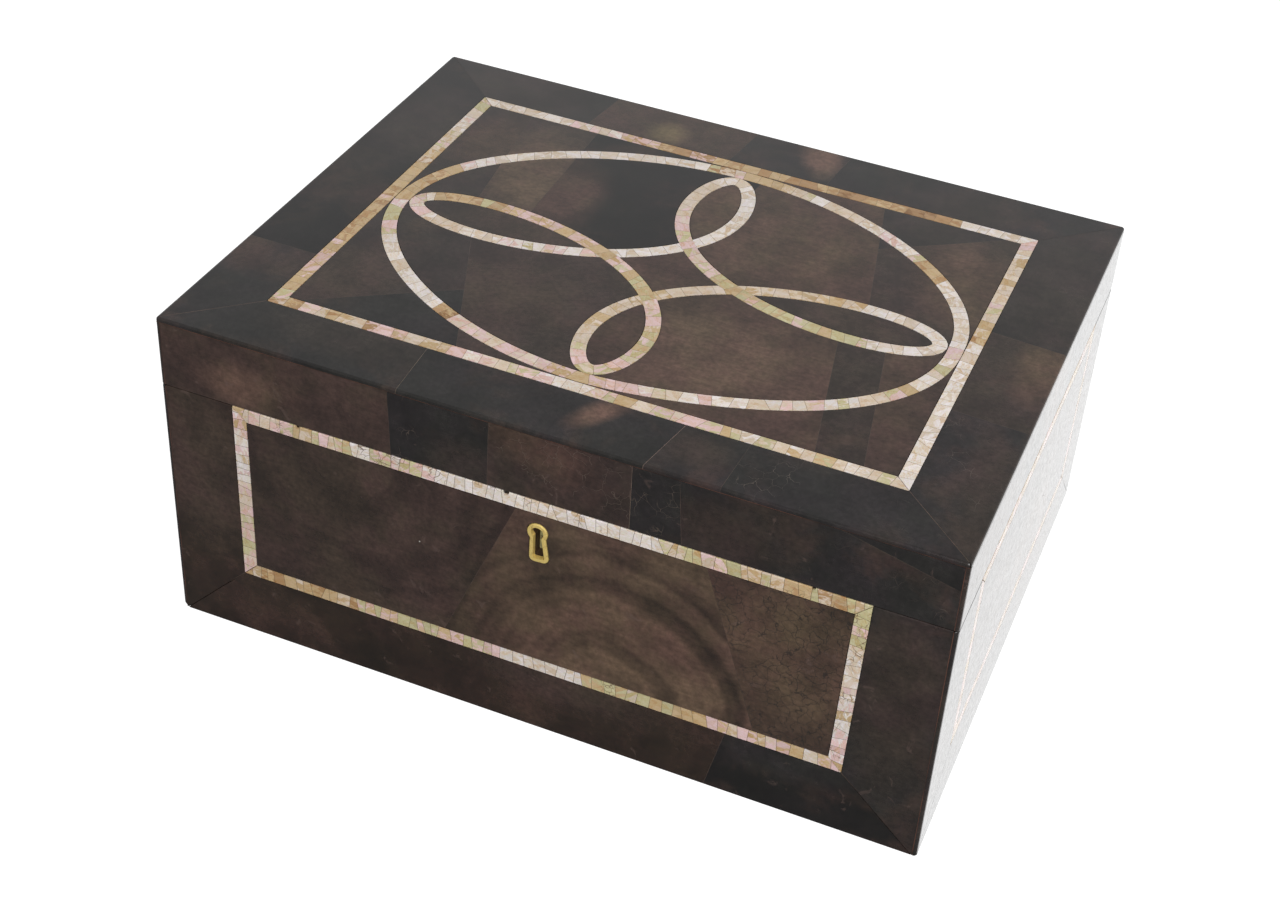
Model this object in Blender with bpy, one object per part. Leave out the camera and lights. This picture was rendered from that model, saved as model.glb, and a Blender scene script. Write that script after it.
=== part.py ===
"""A keepsake box veneered in dark pen shell with flush mother-of-pearl bands.

The lid is a separate tray that drops over a low lip round the inside of the base.
The box stands on its underside, front towards -Y, with the origin at the middle of
its underside. All sizes are in metres.
"""

import math

import bmesh
import bpy
from mathutils import Matrix, Vector
from mathutils.geometry import delaunay_2d_cdt

# Outside of the box
BOX_WIDTH = 0.360
BOX_DEPTH = 0.274
BOX_HEIGHT = 0.164
LID_HEIGHT = 0.035

# Boards under the veneer
WALL_BOARD = 0.011
FLOOR_BOARD = 0.009
LID_BOARD = 0.009
LIP_HEIGHT = 0.004
LIP_THICKNESS = 0.004
LIP_CLEARANCE = 0.0005

# Veneer, and the thin line of glue left between pieces that meet
SHELL_THICKNESS = 0.0018
GLUE_LINE = 0.0003
FLOOR_CLEARANCE = 0.0004

# Rounding of the outside
CORNER_ROUND = 0.0015
TOP_ROUND = 0.0012
RIM_ROUND = 0.0005
ROUND_STEPS = 3
WORN_CORNER = 0.0034

# Mother-of-pearl bands
BAND_WIDTH = 0.0068
BAND_THICKNESS = 0.0010
LID_FRAME_INSET_X = 0.0348
LID_FRAME_INSET_Y = 0.0324
WALL_FRAME_INSET = 0.0350
WALL_FRAME_FOOT = 0.0343
FRONT_FRAME_LEAN = 0.0026

# Oval on the lid, laid by hand: how much flatter than an ellipse each quarter runs (back
# right, back left, front left, front right), and how the front right one swerves
OVAL_FLATS = (0.0022, 0.0019, 0.0022, 0.0)
OVAL_SWERVE = 0.0020
OVAL_STEPS = 96

# Knot on the lid: shares of its reach for the first, third and fifth turn of the curve,
# how far its middle sags to the front, and how far each loop strays sideways
KNOT_SHARES_X = (0.519, 0.401, 0.080)
KNOT_SHARES_Y = (0.664, -0.383, -0.047)
KNOT_SAG = 0.0017
RIGHT_LOOP_STRAY = 0.0020
LEFT_LOOP_STRAY = 0.0005
BACK_LOOP_STRAY = 0.0010
FRONT_LOOP_STRAY = 0.0010
KNOT_STEPS = 144

# Edge chips on the front's top band: place along it, length and depth
CHIPPED_SPOTS = ((-0.1130, 0.0030, 0.0013), (-0.0150, 0.0042, 0.0018), (0.1200, 0.0026, 0.0011))

# Keyhole and its brass lining on the front, set a little askew
ESCUTCHEON_BELOW_BAND = 0.0050
KEYHOLE_HEAD_RADIUS = 0.0029
KEYHOLE_NECK_HALF = 0.0019
KEYHOLE_FOOT_HALF = 0.0027
KEYHOLE_DROP = 0.0138
KEYHOLE_FOOT_ROUND = 0.0007
KEYHOLE_LEAN = math.radians(4.0)
ESCUTCHEON_RING = 0.0018
ESCUTCHEON_PROUD = 0.0006
ESCUTCHEON_BEVEL = 0.0005

# Lock behind the keyhole
LOCK_WIDTH = 0.040
LOCK_HEIGHT = 0.030
LOCK_THICKNESS = 0.0062
LOCK_ABOVE_PIN = 0.0115
LOCK_PIN_RADIUS = 0.0010
LOCK_PIN_LENGTH = 0.0035

# Cutters run past what they trim by this much
OVERSHOOT = 0.002

# Places worked out from the sizes above
SKIN = SHELL_THICKNESS + GLUE_LINE
SEAM_HEIGHT = BOX_HEIGHT - LID_HEIGHT
CARCASS_WIDTH = BOX_WIDTH - 2 * SKIN
CARCASS_DEPTH = BOX_DEPTH - 2 * SKIN
INSIDE_WIDTH = CARCASS_WIDTH - 2 * WALL_BOARD
INSIDE_DEPTH = CARCASS_DEPTH - 2 * WALL_BOARD
FRONT_WIDTH = BOX_WIDTH - 2 * SKIN
ESCUTCHEON_TOP = SEAM_HEIGHT - BAND_WIDTH - ESCUTCHEON_BELOW_BAND
KEYHOLE_HEIGHT = ESCUTCHEON_TOP - ESCUTCHEON_RING - KEYHOLE_HEAD_RADIUS

# Name: colour, roughness, metallic
FINISHES = {
    "stained_wood": ((0.060, 0.036, 0.022, 1.0), 0.55, 0.0),
    "pen_shell": ((0.030, 0.023, 0.020, 1.0), 0.18, 0.0),
    "mother_of_pearl": ((0.620, 0.520, 0.400, 1.0), 0.22, 0.0),
    "brass": ((0.720, 0.520, 0.220, 1.0), 0.30, 1.0),
    "lock_metal": ((0.240, 0.210, 0.150, 1.0), 0.45, 1.0),
}


def clear_scene():
    for item in list(bpy.data.objects):
        bpy.data.objects.remove(item, do_unlink=True)


def finish(name, piece_name):
    colour, roughness, metallic = FINISHES[name]
    material = bpy.data.materials.new(f"{piece_name}_{name}")
    material.use_nodes = True
    shader = material.node_tree.nodes["Principled BSDF"]
    shader.inputs["Base Color"].default_value = colour
    shader.inputs["Roughness"].default_value = roughness
    shader.inputs["Metallic"].default_value = metallic
    material.diffuse_color = colour
    return material


def new_object(name, mesh, material=None, parent=None):
    item = bpy.data.objects.new(name, mesh)
    bpy.context.scene.collection.objects.link(item)
    item.parent = parent
    if material:
        mesh.materials.append(finish(material, name))
    return item


def as_cutter(item):
    item.hide_render = True
    item.display_type = "WIRE"
    return item


def combine(item, operation, other):
    modifier = item.modifiers.new(f"{operation.lower()}_{other.name}", "BOOLEAN")
    modifier.operation = operation
    modifier.solver = "EXACT"
    modifier.object = other


def mesh_from(name, build):
    shape = bmesh.new()
    build(shape)
    bmesh.ops.recalc_face_normals(shape, faces=shape.faces)
    mesh = bpy.data.meshes.new(name)
    shape.to_mesh(mesh)
    shape.free()
    return mesh


def prism_mesh(name, outline, low, high):
    """A straight-sided solid on a flat outline, between two heights."""

    def build(shape):
        corners = [shape.verts.new((x, y, low)) for x, y in outline]
        base = shape.faces.new(corners)
        raised = bmesh.ops.extrude_face_region(shape, geom=[base])["geom"]
        moved = [part for part in raised if isinstance(part, bmesh.types.BMVert)]
        bmesh.ops.translate(shape, verts=moved, vec=(0.0, 0.0, high - low))

    return mesh_from(name, build)


def block_mesh(name, low, high):
    """A plain block between two opposite corners."""
    outline = [(low[0], low[1]), (high[0], low[1]), (high[0], high[1]), (low[0], high[1])]
    return prism_mesh(name, outline, low[2], high[2])


def shrink(outline, gaps):
    """Move each side of a convex outline, drawn anticlockwise, inwards by its own gap."""
    count = len(outline)
    moved = []
    for index in range(count):
        start = Vector(outline[index])
        along = Vector(outline[(index + 1) % count]) - start
        along.normalize()
        inward = Vector((-along.y, along.x))
        moved.append((start + inward * gaps[index], along))
    corners = []
    for index in range(count):
        point_a, along_a = moved[index - 1]
        point_b, along_b = moved[index]
        between = point_b - point_a
        reach = between.cross(along_b) / along_a.cross(along_b)
        corners.append(tuple(point_a + along_a * reach))
    return corners


# Outer faces: an empty each, with x along the face, y up it and z out of it

def face_empty(name, place, right, up):
    item = bpy.data.objects.new(name, None)
    bpy.context.scene.collection.objects.link(item)
    out = Vector(right).cross(Vector(up))
    turn = Matrix((right, up, out)).transposed()
    item.rotation_euler = turn.to_euler()
    item.location = place
    return item


def rounded_blank(name, low_z, high_z, top_round, low_round):
    """The full outside of the lid or the base, with its edges rounded."""

    def along_z(edge):
        return abs(edge.verts[0].co.z - edge.verts[1].co.z) > 1e-6

    def at_height(edge, height):
        return all(abs(corner.co.z - height) < 1e-6 for corner in edge.verts)

    def soften(shape, edges, width):
        bmesh.ops.bevel(
            shape, geom=edges, offset=width, segments=ROUND_STEPS, profile=0.5, affect="EDGES"
        )

    half_x = BOX_WIDTH / 2
    half_y = BOX_DEPTH / 2
    mesh = block_mesh(name, (-half_x, -half_y, low_z), (half_x, half_y, high_z))
    shape = bmesh.new()
    shape.from_mesh(mesh)
    soften(shape, [edge for edge in shape.edges if along_z(edge)], CORNER_ROUND)
    soften(shape, [edge for edge in shape.edges if at_height(edge, high_z)], top_round)
    soften(shape, [edge for edge in shape.edges if at_height(edge, low_z)], low_round)
    shape.to_mesh(mesh)
    shape.free()
    return as_cutter(new_object(name, mesh))


def wear_front_left_foot(blank):
    """Take off the tip of the base's lower front left corner, an equal length along each edge."""
    shape = bmesh.new()
    shape.from_mesh(blank.data)
    outward = Vector((-1.0, -1.0, -1.0)).normalized()
    cut_place = Vector((-BOX_WIDTH / 2, -BOX_DEPTH / 2, 0.0)) - outward * WORN_CORNER / math.sqrt(3)
    everything = shape.verts[:] + shape.edges[:] + shape.faces[:]
    cut = bmesh.ops.bisect_plane(
        shape, geom=everything, plane_co=cut_place, plane_no=outward, clear_outer=True
    )
    rim = [part for part in cut["geom_cut"] if isinstance(part, bmesh.types.BMEdge)]
    bmesh.ops.edgeloop_fill(shape, edges=rim)
    shape.to_mesh(blank.data)
    shape.free()


def veneer(name, face, outline, gaps, material, blank=None):
    """One flat piece of veneer. A blank rounds it where it reaches the outside edges."""
    high = OVERSHOOT if blank else 0.0
    mesh = prism_mesh(name, shrink(outline, gaps), -SHELL_THICKNESS, high)
    piece = new_object(name, mesh, material, face)
    if blank:
        combine(piece, "INTERSECT", blank)
    return piece


def framed_panel(prefix, face, edge, frame, blank, sides, outer_gaps):
    """Veneer of one face: border pieces, a mitred pearl frame and the field inside it.

    Corners run anticlockwise from the lower left. Sides are named in the same order, from
    the lower one, and a side whose frame lies on the edge itself has no border.
    """
    half = GLUE_LINE / 2
    inner = shrink(frame, [BAND_WIDTH] * 4)
    for index, side in enumerate(sides):
        after = (index + 1) % 4
        on_edge = side == "top"
        if not on_edge:
            border = [edge[index], edge[after], frame[after], frame[index]]
            mitre_after = -OVERSHOOT if sides[after] == "top" else half
            mitre_before = -OVERSHOOT if sides[index - 1] == "top" else half
            gaps = [outer_gaps[index], mitre_after, half, mitre_before]
            veneer(f"{prefix}_shell_{side}", face, border, gaps, "pen_shell", blank)
        strip = [frame[index], frame[after], inner[after], inner[index]]
        strip_gaps = [-OVERSHOOT if on_edge else half, half, half, half]
        strip_blank = blank if on_edge else None
        veneer(f"{prefix}_pearl_{side}", face, strip, strip_gaps, "mother_of_pearl", strip_blank)
    return veneer(f"{prefix}_shell_field", face, inner, [half] * 4, "pen_shell")


# Curved bands on the lid

def lid_frame_corners():
    half_x = BOX_WIDTH / 2 - LID_FRAME_INSET_X
    half_y = BOX_DEPTH / 2 - LID_FRAME_INSET_Y
    return [(-half_x, -half_y), (half_x, -half_y), (half_x, half_y), (-half_x, half_y)]


def oval_reach():
    """Half axes of the oval's centre line, so that the oval just meets the frame."""
    corner = lid_frame_corners()[2]
    inwards = BAND_WIDTH + GLUE_LINE + BAND_WIDTH / 2
    return corner[0] - inwards, corner[1] - inwards


def oval_point(turn):
    reach_x, reach_y = oval_reach()
    quarter = int(turn % (2 * math.pi) // (math.pi / 2)) % 4
    swerve = OVAL_SWERVE if quarter == 3 else 0.0
    inwards = OVAL_FLATS[quarter] * (1 - math.cos(4 * turn)) / 2 + swerve * math.sin(4 * turn)
    ellipse = Vector((reach_x * math.cos(turn), reach_y * math.sin(turn)))
    outward = Vector((reach_y * math.cos(turn), reach_x * math.sin(turn))).normalized()
    return ellipse - outward * inwards


def knot_point(turn):
    """Four loops in one closed line, their tips against the inside of the oval."""
    inwards = BAND_WIDTH + GLUE_LINE
    reach_x = oval_reach()[0] - inwards
    reach_y = oval_reach()[1] - inwards
    x = 0.0
    y = 0.0
    for step, (share_x, share_y) in enumerate(zip(KNOT_SHARES_X, KNOT_SHARES_Y)):
        order = 2 * step + 1
        x += reach_x * share_x * math.cos(order * turn)
        y += reach_y * share_y * math.sin(order * turn)
    right, left = loop_weights(math.cos(turn))
    back, front = loop_weights(math.sin(turn))
    y -= KNOT_SAG * (1 - math.cos(4 * turn)) / 2
    y -= RIGHT_LOOP_STRAY * right + LEFT_LOOP_STRAY * left
    x -= BACK_LOOP_STRAY * back + FRONT_LOOP_STRAY * front
    return Vector((x, y))


def loop_weights(along):
    """How much of a point belongs to the loop ahead and to the one opposite."""
    return max(0.0, along) ** 4, max(0.0, -along) ** 4


def band_edges(curve, steps, width):
    """Left and right edge points of a closed band along a curve, kept inside the frame."""
    corner = lid_frame_corners()[2]
    inwards = BAND_WIDTH + GLUE_LINE / 2
    most_x = corner[0] - inwards
    most_y = corner[1] - inwards

    def within(point):
        x = max(-most_x, min(most_x, point.x))
        y = max(-most_y, min(most_y, point.y))
        return Vector((x, y))

    left = []
    right = []
    nudge = 0.001
    for step in range(steps):
        turn = 2 * math.pi * step / steps
        along = curve(turn + nudge) - curve(turn - nudge)
        along.normalize()
        across = Vector((-along.y, along.x)) * width / 2
        middle = curve(turn)
        left.append(within(middle + across))
        right.append(within(middle - across))
    return left, right


def inside_quad(point, corners):
    sides = []
    for index in range(4):
        start = corners[index]
        sides.append((corners[(index + 1) % 4] - start).cross(point - start))
    return all(side >= 0 for side in sides) or all(side <= 0 for side in sides)


def band_mesh(name, bands, low, high):
    """One solid over all the ground that the closed bands cover, crossings included."""
    points = []
    edges = []
    quads = []
    for curve, steps, width in bands:
        left, right = band_edges(curve, steps, width)
        for line in (left, right):
            first = len(points)
            points.extend(line)
            edges.extend((first + i, first + (i + 1) % steps) for i in range(steps))
        for i in range(steps):
            j = (i + 1) % steps
            quads.append((left[i], left[j], right[j], right[i]))
    flat = delaunay_2d_cdt(points, edges, [], 0, 1e-7)
    ground = []
    for triangle in flat[2]:
        centre = sum((flat[0][i] for i in triangle), Vector((0.0, 0.0))) / 3
        if any(inside_quad(centre, quad) for quad in quads):
            ground.append(triangle)

    def build(shape):
        used = sorted({i for triangle in ground for i in triangle})
        corners = {i: shape.verts.new((flat[0][i].x, flat[0][i].y, low)) for i in used}
        base = [shape.faces.new([corners[i] for i in triangle]) for triangle in ground]
        raised = bmesh.ops.extrude_face_region(shape, geom=base)["geom"]
        moved = [part for part in raised if isinstance(part, bmesh.types.BMVert)]
        bmesh.ops.translate(shape, verts=moved, vec=(0.0, 0.0, high - low))

    return mesh_from(name, build)


def make_lid_top(blank):
    half_x = BOX_WIDTH / 2
    half_y = BOX_DEPTH / 2
    face = face_empty("lid_top_face", (0.0, 0.0, BOX_HEIGHT), (1, 0, 0), (0, 1, 0))
    edge = [(-half_x, -half_y), (half_x, -half_y), (half_x, half_y), (-half_x, half_y)]
    sides = ("front", "right", "back", "left")
    field = framed_panel("lid", face, edge, lid_frame_corners(), blank, sides, [-OVERSHOOT] * 4)

    groove_width = BAND_WIDTH + 2 * GLUE_LINE
    groove_floor = -BAND_THICKNESS - GLUE_LINE
    oval_groove = (oval_point, OVAL_STEPS, groove_width)
    knot_groove = (knot_point, KNOT_STEPS, groove_width)
    groove_mesh = band_mesh("band_groove", [oval_groove, knot_groove], groove_floor, OVERSHOOT)
    groove = as_cutter(new_object("band_groove", groove_mesh, parent=face))
    combine(field, "DIFFERENCE", groove)

    oval_mesh = band_mesh(
        "lid_pearl_oval", [(oval_point, OVAL_STEPS, BAND_WIDTH)], -BAND_THICKNESS, 0.0
    )
    new_object("lid_pearl_oval", oval_mesh, "mother_of_pearl", face)
    knot_mesh = band_mesh(
        "lid_pearl_knot", [(knot_point, KNOT_STEPS, BAND_WIDTH)], -BAND_THICKNESS, 0.0
    )
    knot = new_object("lid_pearl_knot", knot_mesh, "mother_of_pearl", face)

    # The tips of the knot are trimmed where they meet the oval
    trim_mesh = band_mesh("oval_room", [oval_groove], groove_floor, OVERSHOOT)
    combine(knot, "DIFFERENCE", as_cutter(new_object("oval_room", trim_mesh, parent=face)))


def make_lid_rim(blank):
    """Veneer round the lid's edge, under the top veneer."""
    low = SEAM_HEIGHT
    high = BOX_HEIGHT - SKIN
    walls = {
        "front": ((0, -BOX_DEPTH / 2, 0), (1, 0, 0), FRONT_WIDTH, 0.0),
        "right": ((BOX_WIDTH / 2, 0, 0), (0, 1, 0), BOX_DEPTH, -OVERSHOOT),
        "back": ((0, BOX_DEPTH / 2, 0), (-1, 0, 0), FRONT_WIDTH, 0.0),
        "left": ((-BOX_WIDTH / 2, 0, 0), (0, -1, 0), BOX_DEPTH, -OVERSHOOT),
    }
    for side, (place, right, width, end_gap) in walls.items():
        face = face_empty(f"lid_{side}_face", place, right, (0, 0, 1))
        outline = [(-width / 2, low), (width / 2, low), (width / 2, high), (-width / 2, high)]
        gaps = [0.0, end_gap, 0.0, end_gap]
        veneer(f"lid_rim_shell_{side}", face, outline, gaps, "pen_shell", blank)


# Base walls

def wall_corners(width, trim=0.0, lean=0.0):
    """Edge and frame corners of a base wall. The frame's upper side lies on the rim.

    The veneer stops short of the wall's ends by the trim.
    """
    half = width / 2 - trim
    frame_half = width / 2 - WALL_FRAME_INSET
    edge = [(-half, 0.0), (half, 0.0), (half, SEAM_HEIGHT), (-half, SEAM_HEIGHT)]
    frame = [
        (-frame_half, WALL_FRAME_FOOT),
        (frame_half - lean, WALL_FRAME_FOOT),
        (frame_half, SEAM_HEIGHT),
        (-frame_half, SEAM_HEIGHT),
    ]
    return edge, frame


def make_base_veneer(blank):
    half_x = BOX_WIDTH / 2
    half_y = BOX_DEPTH / 2
    front_face = face_empty("front_face", (0, -half_y, 0), (1, 0, 0), (0, 0, 1))
    right_face = face_empty("right_face", (half_x, 0, 0), (0, 1, 0), (0, 0, 1))
    left_face = face_empty("left_face", (-half_x, 0, 0), (0, -1, 0), (0, 0, 1))
    back_face = face_empty("back_face", (0, half_y, 0), (-1, 0, 0), (0, 0, 1))

    # Side veneers run the full depth and cover the ends of the front and back veneers
    edge, frame = wall_corners(BOX_DEPTH)
    full_gaps = [FLOOR_CLEARANCE, -OVERSHOOT, -OVERSHOOT, -OVERSHOOT]
    framed_panel("right", right_face, edge, frame, blank, ("bottom", "back", "top", "front"), full_gaps)
    framed_panel("left", left_face, edge, frame, blank, ("bottom", "front", "top", "back"), full_gaps)

    edge, frame = wall_corners(BOX_WIDTH, SKIN, FRONT_FRAME_LEAN)
    front_gaps = [FLOOR_CLEARANCE, 0.0, -OVERSHOOT, 0.0]
    sides = ("bottom", "right", "top", "left")
    field = framed_panel("front", front_face, edge, frame, blank, sides, front_gaps)
    chip_band(front_face)
    cut_escutcheon_seat(front_face, field)
    make_escutcheon(front_face)

    half = FRONT_WIDTH / 2
    outline = [(-half, 0.0), (half, 0.0), (half, SEAM_HEIGHT), (-half, SEAM_HEIGHT)]
    gaps = [FLOOR_CLEARANCE, 0.0, -OVERSHOOT, 0.0]
    veneer("back_shell", back_face, outline, gaps, "pen_shell", blank)


def chip_band(face):
    """Small notches where bits of pearl have broken out along the rim."""
    band = bpy.data.objects["front_pearl_top"]
    for number, (place, length, depth) in enumerate(CHIPPED_SPOTS, start=1):
        low = SEAM_HEIGHT - depth
        high = SEAM_HEIGHT + OVERSHOOT
        outline = [
            (place - length * 0.2, low),
            (place + length * 0.3, low + depth * 0.2),
            (place + length / 2, high),
            (place - length / 2, high),
        ]
        mesh = prism_mesh(f"chip_{number}", outline, -SHELL_THICKNESS / 2, OVERSHOOT)
        combine(band, "DIFFERENCE", as_cutter(new_object(f"chip_{number}", mesh, parent=face)))


# Keyhole, its lining and the lock

def keyhole_outline(grow):
    """A round head over a flared skirt, grown outwards all round."""
    head = KEYHOLE_HEAD_RADIUS + grow
    neck = KEYHOLE_NECK_HALF + grow
    foot = KEYHOLE_FOOT_HALF + grow
    foot_y = KEYHOLE_HEIGHT - KEYHOLE_DROP - grow
    corner = KEYHOLE_FOOT_ROUND + grow
    head_steps = 20
    corner_steps = 4
    start = math.asin(neck / head)
    points = []
    for step in range(head_steps + 1):
        turn = -math.pi / 2 + start + (2 * math.pi - 2 * start) * step / head_steps
        points.append((head * math.cos(turn), KEYHOLE_HEIGHT + head * math.sin(turn)))
    for side in (-1, 1):
        arc = []
        for step in range(corner_steps + 1):
            turn = math.pi / 2 * step / corner_steps
            reach_x = foot - corner + corner * math.cos(turn)
            arc.append((side * reach_x, foot_y + corner - corner * math.sin(turn)))
        points.extend(arc if side < 0 else reversed(arc))

    # The whole outline leans about the middle of its head
    lean = Matrix.Rotation(KEYHOLE_LEAN, 2)
    leaning = [lean @ Vector((x, y - KEYHOLE_HEIGHT)) for x, y in points]
    return [(point.x, point.y + KEYHOLE_HEIGHT) for point in leaning]


def cut_escutcheon_seat(face, field):
    outline = keyhole_outline(ESCUTCHEON_RING + GLUE_LINE)
    mesh = prism_mesh("escutcheon_seat", outline, -SHELL_THICKNESS - OVERSHOOT, OVERSHOOT)
    seat = as_cutter(new_object("escutcheon_seat", mesh, parent=face))
    combine(field, "DIFFERENCE", seat)


def make_escutcheon(face):
    outline = keyhole_outline(ESCUTCHEON_RING)
    mesh = prism_mesh("keyhole_escutcheon", outline, -SHELL_THICKNESS, ESCUTCHEON_PROUD)
    shape = bmesh.new()
    shape.from_mesh(mesh)
    top = [edge for edge in shape.edges if all(v.co.z > ESCUTCHEON_PROUD / 2 for v in edge.verts)]
    bmesh.ops.bevel(shape, geom=top, offset=ESCUTCHEON_BEVEL, segments=2, profile=0.5, affect="EDGES")
    shape.to_mesh(mesh)
    shape.free()
    ring = new_object("keyhole_escutcheon", mesh, "brass", face)
    hole = prism_mesh("escutcheon_hole", keyhole_outline(0.0), -2 * SHELL_THICKNESS, 2 * OVERSHOOT)
    combine(ring, "DIFFERENCE", as_cutter(new_object("escutcheon_hole", hole, parent=face)))


def front_board_y():
    """Outer and inner face of the front wall board."""
    outer = -CARCASS_DEPTH / 2
    return outer, outer + WALL_BOARD


def lock_span():
    """Lowest and highest corner of the lock, let into the back of the front board."""
    inner = front_board_y()[1]
    top = KEYHOLE_HEIGHT + LOCK_ABOVE_PIN
    low = (-LOCK_WIDTH / 2, inner - LOCK_THICKNESS, top - LOCK_HEIGHT)
    return low, (LOCK_WIDTH / 2, inner, top)


def make_lock(front_board):
    low, high = lock_span()
    new_object("lock_case", block_mesh("lock_case", low, high), "lock_metal")
    room = GLUE_LINE
    pocket_low = (low[0] - room, low[1] - room, low[2] - room)
    pocket_high = (high[0] + room, high[1] + OVERSHOOT, high[2] + room)
    pocket = as_cutter(new_object("lock_pocket", block_mesh("lock_pocket", pocket_low, pocket_high)))
    combine(front_board, "DIFFERENCE", pocket)

    face = bpy.data.objects["front_face"]
    depth = BOX_DEPTH / 2 + high[1]
    hole_mesh = prism_mesh("keyhole_bore", keyhole_outline(0.0), -depth, OVERSHOOT)
    combine(front_board, "DIFFERENCE", as_cutter(new_object("keyhole_bore", hole_mesh, parent=face)))

    shape = bmesh.new()
    bmesh.ops.create_cone(
        shape, cap_ends=True, segments=16, radius1=LOCK_PIN_RADIUS,
        radius2=LOCK_PIN_RADIUS, depth=LOCK_PIN_LENGTH,
    )
    mesh = bpy.data.meshes.new("lock_pin")
    shape.to_mesh(mesh)
    shape.free()
    mesh.shade_smooth()
    mesh.set_sharp_from_angle(angle=math.radians(40))
    pin = new_object("lock_pin", mesh, "brass")
    pin.rotation_euler = (math.pi / 2, 0.0, 0.0)
    pin.location = (0.0, low[1] - GLUE_LINE - LOCK_PIN_LENGTH / 2, KEYHOLE_HEIGHT)


# Boards

def board(name, low, high):
    return new_object(name, block_mesh(name, low, high), "stained_wood")


def rebate(item, name, low, high):
    cutter = as_cutter(new_object(name, block_mesh(name, low, high)))
    combine(item, "DIFFERENCE", cutter)


def make_base_boards():
    half_x = CARCASS_WIDTH / 2
    half_y = CARCASS_DEPTH / 2
    inside_x = INSIDE_WIDTH / 2
    inside_y = INSIDE_DEPTH / 2
    low = FLOOR_BOARD + GLUE_LINE
    lip_top = SEAM_HEIGHT + LIP_HEIGHT
    over = lip_top + OVERSHOOT
    lip_x = inside_x + LIP_THICKNESS
    lip_y = inside_y + LIP_THICKNESS
    board("base_floor_board", (-half_x, -half_y, 0.0), (half_x, half_y, FLOOR_BOARD))

    front = board("base_front_board", (-half_x, -half_y, low), (half_x, -inside_y, lip_top))
    back = board("base_back_board", (-half_x, inside_y, low), (half_x, half_y, lip_top))
    past_x = half_x + OVERSHOOT
    past_y = half_y + OVERSHOOT
    rebate(front, "front_rebate", (-past_x, -past_y, SEAM_HEIGHT), (past_x, -lip_y, over))
    rebate(back, "back_rebate", (-past_x, lip_y, SEAM_HEIGHT), (past_x, past_y, over))
    for wall, mark, near, far in ((front, "front", -past_y, -inside_y + OVERSHOOT),
                                  (back, "back", inside_y - OVERSHOOT, past_y)):
        rebate(wall, f"{mark}_rebate_left", (-past_x, near, SEAM_HEIGHT), (-lip_x, far, over))
        rebate(wall, f"{mark}_rebate_right", (lip_x, near, SEAM_HEIGHT), (past_x, far, over))

    end = inside_y - GLUE_LINE
    left = board("base_left_board", (-half_x, -end, low), (-inside_x, end, lip_top))
    right = board("base_right_board", (inside_x, -end, low), (half_x, end, lip_top))
    rebate(left, "left_rebate", (-past_x, -past_y, SEAM_HEIGHT), (-lip_x, past_y, over))
    rebate(right, "right_rebate", (lip_x, -past_y, SEAM_HEIGHT), (past_x, past_y, over))
    return front


def make_lid_boards():
    half_x = CARCASS_WIDTH / 2
    half_y = CARCASS_DEPTH / 2
    inside_x = INSIDE_WIDTH / 2
    inside_y = INSIDE_DEPTH / 2
    board_top = BOX_HEIGHT - SKIN
    board_low = board_top - LID_BOARD
    board("lid_top_board", (-half_x, -half_y, board_low), (half_x, half_y, board_top))

    low = SEAM_HEIGHT + GLUE_LINE
    high = board_low - GLUE_LINE
    end = inside_y - GLUE_LINE
    front = board("lid_front_rail", (-half_x, -half_y, low), (half_x, -inside_y, high))
    back = board("lid_back_rail", (-half_x, inside_y, low), (half_x, half_y, high))
    left = board("lid_left_rail", (-half_x, -end, low), (-inside_x, end, high))
    right = board("lid_right_rail", (inside_x, -end, low), (half_x, end, high))

    # The lip stands in a rebate that runs round the inside of the lid
    room_x = inside_x + LIP_THICKNESS + LIP_CLEARANCE
    room_y = inside_y + LIP_THICKNESS + LIP_CLEARANCE
    room_top = SEAM_HEIGHT + LIP_HEIGHT + LIP_CLEARANCE
    room_low = (-room_x, -room_y, SEAM_HEIGHT - OVERSHOOT)
    room_mesh = block_mesh("lip_room", room_low, (room_x, room_y, room_top))
    room = as_cutter(new_object("lip_room", room_mesh))
    for rail in (front, back, left, right):
        combine(rail, "DIFFERENCE", room)


def main():
    clear_scene()
    lid_blank = rounded_blank("lid_blank", SEAM_HEIGHT + GLUE_LINE, BOX_HEIGHT, TOP_ROUND, RIM_ROUND)
    base_blank = rounded_blank("base_blank", 0.0, SEAM_HEIGHT, RIM_ROUND, RIM_ROUND)
    wear_front_left_foot(base_blank)
    make_lid_top(lid_blank)
    make_lid_rim(lid_blank)
    make_base_veneer(base_blank)
    front_board = make_base_boards()
    make_lid_boards()
    make_lock(front_board)


main()
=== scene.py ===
import math
import random

import bmesh
import bpy
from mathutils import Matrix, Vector


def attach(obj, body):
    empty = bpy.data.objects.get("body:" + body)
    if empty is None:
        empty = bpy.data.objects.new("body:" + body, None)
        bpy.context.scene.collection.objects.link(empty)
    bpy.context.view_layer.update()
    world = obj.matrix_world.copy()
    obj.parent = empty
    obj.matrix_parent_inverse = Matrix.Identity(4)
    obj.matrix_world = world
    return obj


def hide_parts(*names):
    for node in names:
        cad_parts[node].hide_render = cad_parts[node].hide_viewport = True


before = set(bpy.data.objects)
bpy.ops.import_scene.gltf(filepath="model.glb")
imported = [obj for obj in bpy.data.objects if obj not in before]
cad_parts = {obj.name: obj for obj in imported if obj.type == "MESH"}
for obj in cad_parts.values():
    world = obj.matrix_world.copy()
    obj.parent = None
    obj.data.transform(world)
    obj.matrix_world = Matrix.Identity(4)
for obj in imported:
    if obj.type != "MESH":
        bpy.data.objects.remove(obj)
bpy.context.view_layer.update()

random.seed(41)
print("frame loaded")

mm = 0.001

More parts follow.
